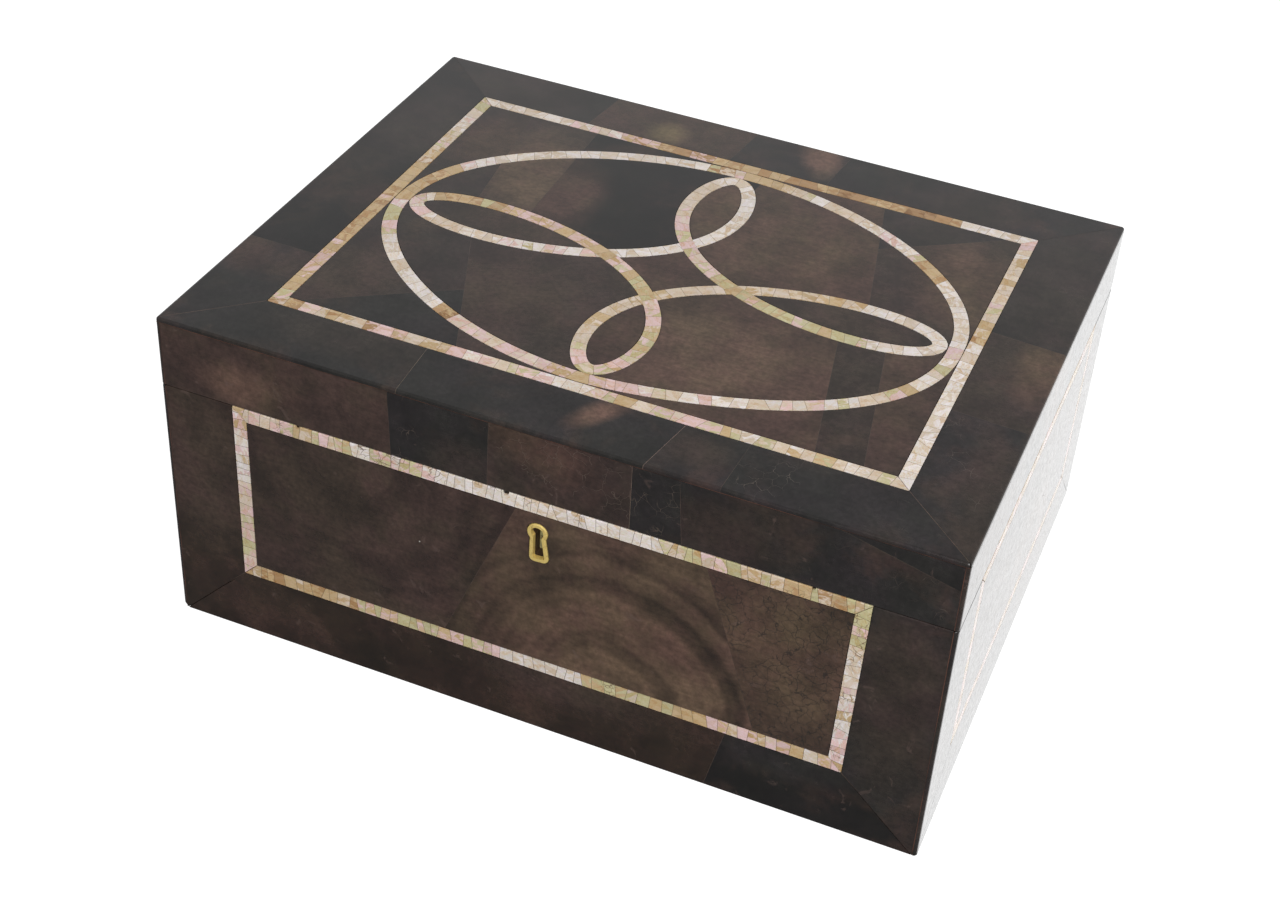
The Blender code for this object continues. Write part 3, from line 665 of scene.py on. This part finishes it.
lidPlans = {
    "front": inRow(
        tile("dusk", "charcoal", (-96, -112), (44, 14), 0.1, 0.15),
        ((-65.5, -137.5), (-67.8, -104.0), "pale"),
        tile("tan", "charcoal", (14, -115), (5.5, 13), 0.0, 0.2, -34),
        ((44.4, -138), (50.2, -104), "pale"),
        tile("bark", "charcoal", (60, -118), (14, 12), 0.1, 0.3),
        ((77.4, -138), (78.4, -104)),
        tile("charcoal", "charcoal", (120, -124), (30, 20), 0.2, 0.65)),
    "right": inRow(
        tile("dusk", "charcoal", (165, 70), (26, 50), 0.1, 0.1),
        ((144.8, 19.2), (181, 16.9)),
        tile("olive", "bark", (174, 2), (12, 24), 0.1, 0.3),
        ((144.8, -44.6), (181, -46.5)),
        tile("bark", "charcoal", (170, -84), (8, 30), 0.1, 0.45, 8)),
    "back": inRow(
        tile("dusk", "charcoal", (-130, 118), (40, 20), 0.3, 0.1),
        ((-88, 104), (-84, 138)),
        tile("moss", "brown", (-49, 114), (9, 11), 0.0, 0.1, 12),
        ((-12, 104), (-8, 138)),
        tile("tan", "charcoal", (28, 130), (8, 18), 0.0, 0.1, 22),
        ((38.4, 104), (41.6, 138)),
        tile("dusk", "charcoal", (108, 118), (26, 14), 0.1, 0.1)),
    "left": inRow(
        tile("dusk", "black", (-163, 62), (20, 40), 0.2, 0.1),
        ((-181, -62.4), (-144.8, -62.8)),
        tile("brown", "charcoal", (-173, -72), (9, 14), 0.1, 0.1, 10)),
}
fieldPlan = across(
    (-138.5, -3.4), (138.5, -2.6),
    inRow(
        tile("rust", "dusk", (-122, 66), (18, 26), 0.2, 0.1),
        ((-101.5, -3), (-115.1, 97.5)),
        tile("fawn", "bark", (-92, 52), (17, 38), 0.2, 0.1, 8),
        ((-76.1, -3), (-79.6, 97.5)),
        tile("rust", "black", (-70, 38), (17, 25), 0.35, 0.1, 8),
        ((0.4, -3.2), (11.0, 98)),
        tile("olive", "rust", (42, 44), (34, 30), 0.1, 0.15),
        ((93.9, -3), (70.9, 98)),
        tile("dusk", "charcoal", (100, 90), (20, 20), 0.1, 0.1),
        ((93.6, 71), (129.5, 96.2)),
        tile("olive", "bark", (124, 50), (20, 34), 0.2, 0.15, 12)),
    inRow(
        across((-129, -95), (-95.5, -72),
               tile("brown", "dusk", (-124, -72), (18, 22), 0.1, 0.1),
               tile("charcoal", "charcoal", (-90, -90), (30, 30), 0.2, 0.1)),
        ((-57.7, -98), (-97.2, -3)),
        tile("brown", "bark", (-58, -52), (28, 26), 0.15, 0.2, 30),
        ((5.6, -98), (-1.8, -3)),
        tile("fawn", "rust", (42, -52), (40, 30), 0.1, 0.15),
        ((103.2, -98), (83.2, -3)),
        tile("bark", "bark", (114, -30), (16, 34), 0.2, 0.2),
        ((124.1, -98), (104.9, -3)),
        tile("rust", "brown", (122, -44), (16, 44), 0.2, 0.15, 10)))
loopPlans = {
    "back": tile("olive", "brown", (0, 58), (14, 26), 0.2, 0.1),
    "front": tile("rust", "brown", (0, -58), (14, 26), 0.2, 0.1),
    "left": tile("brown", "dusk", (-80, 0), (30, 14), 0.2, 0.1),
    "right": tile("brown", "dusk", (84, -2), (30, 14), 0.2, 0.1),
    "middle": tile("rust", "brown", (0, 0), (30, 24), 0.1, 0.1),
}
rimPlans = {
    "front": inRow(
        tile("fawn", "brown", (-141, 141), (17, 9), 0.15, 0.1),
        ((-68.3, 128), (-69.6, 163)),
        tile("dusk", "charcoal", (-34, 134), (18, 14), 0.3, 0.6),
        ((-23.6, 128), (-23.2, 163)),
        tile("rust", "bark", (-4, 160), (24, 14), 0.3, 0.7, -12),
        ((40.4, 128), (40.2, 163), "pale"),
        tile("charcoal", "charcoal", (50, 146), (12, 18), 0.2, 0.6),
        ((63.5, 128), (60.5, 163)),
        tile("charcoal", "black", (150, 160), (30, 12), 0.2, 0.1),
        ((122, 163.5), (180, 149)),
        tile("bark", "charcoal", (80, 142), (20, 16), 0.2, 0.4)),
    "right": inRow(
        tile("brown", "dusk", (-90, 146), (40, 16), 0.3, 0.4),
        ((-41, 128), (-45, 163)),
        tile("olive", "charcoal", (10, 150), (26, 18), 0.4, 0.3),
        ((52, 128), (49, 163)),
        tile("dusk", "charcoal", (96, 146), (40, 16), 0.3, 0.3)),
    "back": inRow(
        tile("dusk", "charcoal", (-120, 146), (50, 20), 0.3, 0.2),
        ((-62, 128), (-58, 163)),
        tile("brown", "charcoal", (0, 146), (36, 16), 0.3, 0.2),
        ((66, 128), (63, 163)),
        tile("dusk", "charcoal", (120, 146), (50, 20), 0.3, 0.2)),
    "left": inRow(
        tile("dusk", "charcoal", (-90, 146), (40, 16), 0.3, 0.2),
        ((-47, 128), (-44, 163)),
        tile("brown", "dusk", (4, 146), (34, 16), 0.3, 0.2),
        ((58, 128), (60, 163)),
        tile("olive", "dusk", (98, 146), (30, 14), 0.3, 0.2)),
}
frontPlans = {
    "field": inRow(
        tile("brown", "brown", (-86, 122), (56, 56), 0.66, 0.1),
        ((-46.4, 34), (-9.4, 124)),
        tile("tan", "fawn", (33.7, 32.5), (63, 64), 0.95, 0.3),
        ((104.5, 34), (74.5, 124)),
        tile("olive", "rust", (118, 88), (34, 30), 0.2, 0.95)),
    # The bottom and left border tiles darken towards the foot: partly the shell's own tone, partly
    # painted shade of the light falling off towards the bottom
    "bottom": inRow(
        tile("brown", "coffee", (14, 32), (40, 14), 0.25, 0.1),
        ((82.0, -1), (89.9, 35)),
        tile("charcoal", "black", (120, 30), (26, 10), 0.2, 0.1)),
    "left": tile("brown", "coffee", (-162, 96), (22, 44), 0.25, 0.1),
    "right": tile("bark", "charcoal", (162, 90), (18, 50), 0.25, 0.15),
}


def wallPlans(front, shift):
    # the sides repeat the front's scheme with plainer tiles; front is the way to the front
    return {
        "field": inRow(
            tile("brown", "dusk", (-62, 60), (40, 44), 0.5, 0.3),
            ((-28 + shift, 34), (-12 + shift, 124)),
            tile("olive", "brown", (18 + shift, 40), (44, 50), 0.8, 0.3),
            ((64 + shift, 34), (52 + shift, 124)),
            tile("brown", "dusk", (84, 90), (30, 34), 0.3, 0.3)),
        # Darker bottom tiles as on the front: partly the shell's own tone, partly painted shade
        # towards the foot
        "bottom": inRow(
            tile("dusk", "charcoal", (-70, 18), (48, 20), 0.3, 0.25),
            ((-20 - shift, -1), (-16 - shift, 35)),
            tile("brown", "charcoal", (60, 18), (48, 20), 0.2, 0.25)),
        "front": tile("dusk", "charcoal", (118 * front, 70), (20, 50), 0.3, 0.2),
        "back": tile("brown", "charcoal", (-118 * front, 70), (20, 50), 0.3, 0.2),
    }


backPlan = inRow(
    tile("dusk", "charcoal", (-118, 60), (50, 50), 0.6, 0.15),
    ((-64, -1), (-56, 130)),
    tile("brown", "charcoal", (4, 50), (50, 50), 0.7, 0.15),
    ((62, -1), (68, 130)),
    tile("dusk", "charcoal", (122, 70), (50, 50), 0.6, 0.15))

frameX, frameY = inlay["lidFrame"]
halfWidth, halfDepth = width / mm / 2, depth / mm / 2
lidBorder = Pile("lid")
for side, plan in lidPlans.items():
    layTiles(lidBorder, cadShape(f"lid_shell_{side}"), plan)
for alongX in (-1, 1):
    for alongY in (-1, 1):
        start = (alongX * (frameX + inlay["mitreStart"]), alongY * (frameY + inlay["mitreStart"]))
        end = (alongX * (halfWidth - inlay["lidMitreEnd"]),
               alongY * (halfDepth - inlay["lidMitreEnd"]))
        tone = "mitre" if alongY < 0 else "hollow"
        glueStrip(lidBorder, start, end, inlay["glueLine"], tone)
lidBorder.settle("lidBorderTiles", lidShell,
                 [f"lid_shell_{side}" for side in lidPlans])

lidField = Pile("lid")
loopLooks = {name: tileLook(plan) for name, plan in loopPlans.items()}
middleRoom = (38, 28)  # how far the room between the loops reaches, millimetres


def pickLoop(point):
    if not insideKnot(point.x, point.y):
        return None
    if abs(point.x) > middleRoom[0]:
        return loopLooks["left" if point.x < 0 else "right"]
    if abs(point.y) > middleRoom[1]:
        return loopLooks["front" if point.y < 0 else "back"]
    return loopLooks["middle"]


layTiles(lidField, cadShape("lid_shell_field"), fieldPlan, pickLoop)
lidField.settle("lidFieldTiles", lidShell, ["lid_shell_field"])

for side, plan in rimPlans.items():
    rimPile = Pile(side)
    layTiles(rimPile, cadShape(f"lid_rim_shell_{side}"), plan)
    rimPile.settle(f"{side}RimTiles", rimShell, [f"lid_rim_shell_{side}"])

wallSets = {"front": frontPlans, "right": wallPlans(-1, 0), "left": wallPlans(1, 9)}
for face, plans in wallSets.items():
    wallPile = Pile(face)
    for side, plan in plans.items():
        layTiles(wallPile, cadShape(f"{face}_shell_{side}"), plan)
    half = halfWidth if face == "front" else halfDepth
    endGap, endHeight = inlay["wallMitreEnd"]
    for way in (-1, 1):
        inner = half - inlay["wallFrameInset"]
        lean = inlay["frontLean"] if face == "front" and way > 0 else 0.0
        glueStrip(wallPile, (way * (inner - lean), inlay["wallFrameFoot"]),
                  (way * (half - endGap), endHeight), inlay["glueLine"], "mitre")
    wallPile.settle(f"{face}WallTiles", wallShell,
                    [f"{face}_shell_{side}" for side in plans])

backPile = Pile("back")
layTiles(backPile, cadShape("back_shell"), backPlan)
backPile.settle("backWallTiles", wallShell, ["back_shell"])


# Pearl chips, millimetres: the pattern's grain, and how far the seams between chips may slant
chips = {
    "grain": (7.0, 3.4), "twist": 25, "shade": (0.88, 1.1), "brightest": 0.9,
    "slant": 0.2, "wildSlant": 0.55, "steady": 0.8, "curveSlant": 1.2,
    "shortest": 2.5, "pointStep": 2.0,
}


def pickChip(mix):
    first, second = random.choices(list(mix), list(mix.values()), k=2)
    shade = random.uniform(*chips["shade"])
    core = tuple(min(chips["brightest"], part * shade) for part in pearlTones[first])
    return core, pearlTones[second]


def chipLook(centre, turn, crackle, mix):
    core, rim = pickChip(mix)
    marks = (0.0, random.uniform(0, 9), crackle)
    turn += random.uniform(-chips["twist"], chips["twist"])
    return makeLook(core, rim, marks, centre, chips["grain"], turn)


def findRun(runs, spot):
    for start, end, mix in runs:
        if start <= spot < end:
            break
    return mix


def layStripChips(pile, node, start, end, runs, crackle, long=(3.5, 9.0)):
    # slanted chips along a straight strip; runs give stretches of one mix, in mm from the start
    start, end = Vector(start), Vector(end)
    way = (end - start).normalized()
    length = (end - start).length
    rest = cadShape(node)
    spot = random.uniform(*long)
    last = 0.0
    turn = math.degrees(math.atan2(way.y, way.x))
    seamLook = makeLook(glueTones["lidChip" if pile.face == "lid" else "chip"])
    while spot < length - chips["shortest"]:
        most = chips["slant"] if random.random() < chips["steady"] else chips["wildSlant"]
        slant = random.uniform(-most, most)
        normal = faceWay(pile.face, *(way - Vector((-way.y, way.x)) * slant))
        place = facePoint(pile.face, *(start + way * spot))
        rest, seam, chip = splitShape(rest, place, normal, inlay["chipSeam"])
        middle = (spot + last) / 2
        look = chipLook(start + way * middle, turn, crackle, findRun(runs, middle))
        pile.take(chip, look, glueTones["hollow"])
        pile.take(seam, seamLook, glueTones["hollow"])
        last = spot
        spot += random.uniform(*long)
    look = chipLook(start + way * (length + last) / 2, 0, crackle, findRun(runs, length))
    pile.take(rest, look, glueTones["hollow"])


bright = {"pale": 6, "cream": 2}
creamy = {"cream": 4, "pale": 3, "pink": 2, "green": 1}
sandy = {"sand": 4, "cream": 3, "pink": 1, "green": 1, "tan": 1}
rosy = {"pink": 4, "cream": 3, "sand": 1, "pale": 1}
mossy = {"green": 5, "sand": 3, "pink": 1}
warm = {"tan": 5, "umber": 1, "sand": 3}
lineX, lineY = frameX - inlay["band"] / 2, frameY - inlay["band"] / 2
lidStrips = {
    "front": ((-frameX, -lineY), (frameX, -lineY), [
        (0, 90, {"sand": 3, "pink": 3, "cream": 3, "tan": 1}), (90, 150, creamy),
        (150, 210, {"green": 3, "pink": 3, "sand": 2, "cream": 2}),
        (210, 291, {"cream": 4, "green": 2, "sand": 2, "pale": 1})], 0.25),
    "right": ((lineX, -frameY), (lineX, frameY), [
        (0, 108, bright), (108, 145, sandy), (145, 190, {"sand": 3, "cream": 5}),
        (190, 210, creamy)], 0.1),
    "back": ((frameX, lineY), (-frameX, lineY), [
        (0, 34, bright), (34, 116, warm), (116, 165, {"sand": 4, "tan": 2}),
        (165, 216, {"pink": 3, "tan": 3, "sand": 2}), (216, 291, creamy)], 0.05),
    "left": ((-lineX, frameY), (-lineX, -frameY), [
        (0, 42, creamy), (42, 80, sandy), (80, 115, {"pink": 1, "tan": 1, "sand": 4}),
        (115, 150, {"sand": 4, "tan": 3}),
        (150, 210, {"sand": 4, "pink": 1, "green": 1, "tan": 1})], 0.05),
}
lidPearl = Pile("lid")
for side, (start, end, runs, crackle) in lidStrips.items():
    layStripChips(lidPearl, f"lid_pearl_{side}", start, end, runs, crackle)
lidPearl.settle("lidFramePearl", pearl,
                [f"lid_pearl_{side}" for side in lidStrips])

frontRuns = {
    "top": [
        (0, 58, {"cream": 3, "pink": 3, "green": 2, "sand": 2}), (58, 66, bright),
        (66, 100, {"pink": 3, "green": 2, "pale": 3}), (100, 200, bright),
        (200, 235, {"cream": 3, "green": 2, "pink": 1, "sand": 1}),
        (235, 291, {"sand": 3, "tan": 1, "cream": 3, "green": 1})],
    "bottom": [
        (0, 60, {"sand": 4, "tan": 2, "cream": 1}), (60, 130, {"pink": 3, "green": 3, "sand": 2}),
        (130, 168, bright), (168, 225, {"green": 4, "sand": 3, "cream": 1}), (225, 291, rosy)],
    "left": [
        (0, 55, {"green": 3, "pink": 2, "cream": 3}), (55, 100, {"pink": 3, "sand": 1, "pale": 3})],
    "right": [
        (0, 40, {"pink": 3, "pale": 3, "sand": 1}), (40, 70, {"cream": 3, "pale": 2, "pink": 1}),
        (70, 100, mossy)],
}
# The side walls' pearl gets darker tan and sand chips than the front: partly its own tone, partly
# painted shade that keeps the lines faint in the right wall's glare
wallRunsPaintedShade = [(0, 400, {"pink": 3, "sand": 3, "cream": 1, "tan": 2})]
uprights = {
    "front": {"left": -1, "right": 1},
    "right": {"front": -1, "back": 1},
    "left": {"back": -1, "front": 1},
}
footLine = inlay["wallFrameFoot"] + inlay["band"] / 2
topLine = seamHeight / mm - inlay["band"] / 2
for face, sides in uprights.items():
    half = (halfWidth if face == "front" else halfDepth) - inlay["wallFrameInset"]
    strips = {
        "bottom": ((-half, footLine), (half, footLine)),
        "top": ((-half, topLine), (half, topLine)),
    }
    wallPearl = Pile(face)
    for side, way in sides.items():
        line = way * (half - inlay["band"] / 2)
        strips[side] = ((line, inlay["wallFrameFoot"]), (line, seamHeight / mm))
    for side, (start, end) in strips.items():
        crackle = {"top": 0.65, "right": 0.8}.get(side, 0.4)
        runs = frontRuns[side] if face == "front" else wallRunsPaintedShade
        layStripChips(wallPearl, f"{face}_pearl_{side}", start, end, runs, crackle, (2.8, 6.5))
    wallPearl.settle(f"{face}FramePearl", pearl,
                     [f"{face}_pearl_{side}" for side in strips])


def findCrossing(overTurns, underTurns):
    # where two strands cross, the way the one on top runs, and the turn of the one below
    closest = None
    for first in overTurns:
        for second in underTurns:
            gap = (knotPoint(first) - knotPoint(second)).length
            if closest is None or gap < closest[0]:
                closest = (gap, first, second)
    return knotPoint(closest[1]), curveWay(knotPoint, closest[1]), closest[2]


def turnsBetween(low, high, count=120):
    return [math.radians(low + (high - low) * step / count) for step in range(count + 1)]


crossingReach = {"turn": 0.35, "away": 22.0}
crossings = []
for over in ((12, 78), (192, 258)):
    for under in ((102, 168), (282, 348)):
        crossings.append(findCrossing(turnsBetween(*over), turnsBetween(*under)))


def carveAway(shape, point, way):
    # take out the room of the strand that passes on top
    side = Vector((-way.y, way.x))
    normal = faceWay("lid", *side)
    room = inlay["band"] / 2 + inlay["strandRoom"]
    pieces = []
    for sign in (-1, 1):
        edge = facePoint("lid", *(point + side * room * sign))
        part = keepBeyond(shape.copy(), edge, normal * sign)
        if part.faces:
            pieces.append(part)
    shape.free()
    return pieces


def layCurveChips(pile, curve, clamp, runs, long=(4.0, 8.5), carve=False, crackle=0.1):
    # chips along a closed curve; clamp keeps their corners where they may be
    steps = 1440
    turns = [2 * math.pi * step / steps for step in range(steps + 1)]
    lengths = [0.0]
    for before, after in zip(turns, turns[1:]):
        lengths.append(lengths[-1] + (curve(after) - curve(before)).length)
    total = lengths[-1]

    def turnAt(spot):
        spot %= total
        low = 0
        high = steps
        while high - low > 1:
            middle = (low + high) // 2
            if lengths[middle] <= spot:
                low = middle
            else:
                high = middle
        share = (spot - lengths[low]) / max(1e-9, lengths[high] - lengths[low])
        return turns[low] + (turns[high] - turns[low]) * share

    def edgePoint(spot, side):
        turn = turnAt(spot)
        way = curveWay(curve, turn)
        return clamp(curve(turn) + Vector((-way.y, way.x)) * side * inlay["band"] / 2)

    joints = []
    spot = 0.0
    while spot < total - long[0]:
        joints.append((spot, random.uniform(-chips["curveSlant"], chips["curveSlant"])))
        spot += random.uniform(*long)
    if total - joints[-1][0] < long[0]:
        joints.pop()
    joints.append((total, joints[0][1]))

    def outlineBetween(start, startLean, end, endLean):
        sides = []
        for side in (1, -1):
            low, high = start + startLean * side, end + endLean * side
            count = max(1, round((high - low) / chips["pointStep"]))
            spots = [low + (high - low) * i / count for i in range(count + 1)]
            sides.append([edgePoint(spot, side) for spot in spots])
        return sides[1] + sides[0][::-1]

    gap = inlay["chipSeam"] / 2
    seamLook = makeLook(glueTones["lidChip"])
    for (start, startLean), (end, endLean) in zip(joints, joints[1:]):
        middle = (start + end) / 2
        turn = turnAt(middle)
        point = curve(turn)
        way = curveWay(curve, turn)
        angle = math.degrees(math.atan2(way.y, way.x))
        look = chipLook(point, angle, crackle, findRun(runs, math.degrees(turn)))
        for low, lowLean, high, highLean, chosen in (
                (start + gap, startLean, end - gap, endLean, look),
                (end - gap, endLean, end + gap, endLean, seamLook)):
            outline = outlineBetween(low, lowLean, high, highLean)
            shapes = [prism("lid", outline, -inlay["bandDepth"], 0.0)]
            for crossing, overWay, underTurn in crossings if carve else ():
                apart = abs((turn - underTurn + math.pi) % (2 * math.pi) - math.pi)
                near = (point - crossing).length < crossingReach["away"]
                if near and apart < crossingReach["turn"]:
                    shapes = [part for shape in shapes
                              for part in carveAway(shape, crossing, overWay)]
            for shape in shapes:
                pile.take(shape, chosen)


# runs of one mix, from and to in degrees round the curve
ovalRuns = [
    (0, 30, bright), (30, 41, {"sand": 4, "tan": 1, "cream": 1}), (41, 73, creamy),
    (73, 98, sandy), (98, 143, bright), (143, 156, creamy),
    (156, 183, {"green": 2, "sand": 4, "tan": 1}), (183, 202, {"pink": 4, "green": 2, "pale": 2}),
    (202, 233, bright), (233, 238, warm), (238, 262, {"pink": 3, "cream": 4}),
    (262, 279, {"pink": 4, "sand": 2}), (279, 333, creamy), (333, 338, warm), (338, 360, creamy),
]
knotRuns = [
    (0, 17, bright), (17, 38, mossy), (38, 52, {"pink": 4, "green": 1, "cream": 1}),
    (52, 75, {"pink": 2, "cream": 4}), (75, 146, bright), (146, 186, creamy),
    (186, 199, {"green": 2, "sand": 3, "tan": 1}), (199, 216, {"pink": 4, "sand": 3}),
    (216, 228, mossy), (228, 292, {"pink": 3, "sand": 2, "green": 2, "cream": 2}),
    (292, 340, {"cream": 5, "sand": 2}), (340, 360, bright),
]
ovalPile = Pile("lid")
layCurveChips(ovalPile, ovalPoint, withinFrame, ovalRuns)
ovalPile.settle("ovalPearl", pearl, ["lid_pearl_oval"])

knotPile = Pile("lid")
layCurveChips(knotPile, knotPoint, withinOval, knotRuns, (3.5, 7.5), True)
knotPile.settle("knotPearl", pearl, ["lid_pearl_knot"])


# Dark red glue that shows along the lid's top edge and down the corners, sizes in millimetres

def makeGlueMaterial(name, look):
    material, tree, shader = startMaterial(name)
    place = addNode(tree, "TexCoord").outputs["Object"]
    patches = noise(tree, place, look["patches"], Detail=4.0)
    colour = blendColour(tree, span(tree, patches, 0.35, 0.65),
                         (*look["dark"], 1), (*look["light"], 1))
    tree.links.new(colour, shader.inputs["Base Color"])
    tree.links.new(span(tree, patches, 0.3, 0.7, 0.35, 0.55), shader.inputs["Roughness"])
    return material


glueLook = {"patches": 60.0, "dark": (0.025, 0.010, 0.007), "light": (0.110, 0.042, 0.026)}
glue = makeGlueMaterial("edgeGlue", glueLook)
edgeGlue = {"inset": 0.08, "wide": 1.4, "endGap": 0.5, "low": -2.1, "high": -1.8}
outerX, outerY = halfWidth - edgeGlue["inset"], halfDepth - edgeGlue["inset"]
innerX, innerY = outerX - edgeGlue["wide"], outerY - edgeGlue["wide"]
endX = outerX - edgeGlue["endGap"]
glueColour = makeLook(glueTones["edge"])
edgePile = Pile("lid")
for way in (-1, 1):
    for sides, heights in (((-endX, endX), (way * innerY, way * outerY)),
                           ((way * innerX, way * outerX), (-innerY, innerY))):
        bar = slab("lid", sides, heights, edgeGlue["low"], edgeGlue["high"])
        edgePile.take(bar, glueColour)
edgePile.settle("lidEdgeGlue", glue)

cornerGlue = {
    "fromEdge": (2.1, 1.8), "low": -1.7, "high": -0.03,
    "base": (0.6, 128.4), "lid": (129.6, 161.8),
}
cornerPile = Pile("front")
for face in ("front", "back"):
    cornerPile.face = face
    for way in (-1, 1):
        sides = [way * (halfWidth - part) for part in cornerGlue["fromEdge"]]
        for heights in (cornerGlue["base"], cornerGlue["lid"]):
            bar = slab(face, sides, heights, cornerGlue["low"], cornerGlue["high"])
            cornerPile.take(bar, glueColour)
cornerPile.settle("cornerGlue", glue)


# Floor, lights and camera

studio = {
    "highSky": 0.42, "lowSky": 0.76, "floorTone": 0.26, "floorGlow": 0.96,
    "floorReach": 40.0, "floorDrop": 0.0002,
    "softbox": {
        "place": (0.87, -1.18, 1.30), "aim": (0, 0, 0.08), "size": (1.4, 1.4), "power": 29.0,
    },
    # lies on the floor beside the box and is seen only as the glare on the right wall
    "sideCard": {
        "place": (0.376, 0.29, -0.0001), "aim": (0.376, 0.29, 1.0), "size": (0.4, 0.85),
        "power": 1.43,
    },
}
floorMesh = bpy.data.meshes.new("floor")
reach = studio["floorReach"]
corners = [(-reach, -reach, 0), (reach, -reach, 0), (reach, reach, 0), (-reach, reach, 0)]
floorMesh.from_pydata(corners, [], [(0, 1, 2, 3)])
floor = bpy.data.objects.new("floor", floorMesh)
bpy.context.scene.collection.objects.link(floor)
floor.location.z = -studio["floorDrop"]
paper, tree, shader = startMaterial("paleFloor")
place = addNode(tree, "TexCoord").outputs["Object"]
faint = noise(tree, place, 3.0, Detail=3.0)
tone = span(tree, faint, 0.3, 0.7, studio["floorTone"] - 0.01, studio["floorTone"] + 0.01)
tree.links.new(triple(tree, tone), shader.inputs["Base Color"])
shader.inputs["Roughness"].default_value = 0.9
shader.inputs["Specular IOR Level"].default_value = 0.1
seen = addNode(tree, "LightPath").outputs["Is Camera Ray"]
shader.inputs["Emission Color"].default_value = (1, 1, 1, 1)
tree.links.new(times(tree, seen, studio["floorGlow"]), shader.inputs["Emission Strength"])
floorMesh.materials.append(paper)

scene = bpy.context.scene
scene.view_settings.view_transform = "Standard"
world = bpy.data.worlds.new("softRoom")
world.use_nodes = True
backdrop = world.node_tree.nodes["Background"]
sky = addNode(world.node_tree, "TexCoord").outputs["Generated"]
rise = addNode(world.node_tree, "SeparateXYZ", Vector=sky).outputs["Z"]
glow = span(world.node_tree, rise, 0.44, 0.64, studio["lowSky"], studio["highSky"])
backdrop.inputs["Color"].default_value = (1, 1, 1, 1)
world.node_tree.links.new(glow, backdrop.inputs["Strength"])
scene.world = world

for name in ("softbox", "sideCard"):
    values = studio[name]
    light = bpy.data.lights.new(name, "AREA")
    light.shape = "RECTANGLE"
    light.size, light.size_y = values["size"]
    light.energy = values["power"]
    lamp = bpy.data.objects.new(name, light)
    lamp.location = values["place"]
    way = Vector(values["aim"]) - Vector(values["place"])
    lamp.rotation_euler = way.to_track_quat("-Z", "Y").to_euler()
    lamp.visible_camera = False
    lamp.visible_diffuse = name == "softbox"
    scene.collection.objects.link(lamp)

view = {
    "place": (0.27191, -0.74028, 0.67285), "turn": (54.118, -4.109, 21.469),
    "lens": 58.38, "sensor": 36.0, "shift": (-0.0561, -0.0605), "nearest": 0.02,
}
camera = bpy.data.objects.new("camera", bpy.data.cameras.new("camera"))
camera.location = view["place"]
camera.rotation_euler = [math.radians(part) for part in view["turn"]]
camera.data.lens = view["lens"]
camera.data.sensor_width = view["sensor"]
camera.data.shift_x, camera.data.shift_y = view["shift"]
camera.data.clip_start = view["nearest"]
scene.collection.objects.link(camera)
scene.camera = camera
print("studio set")
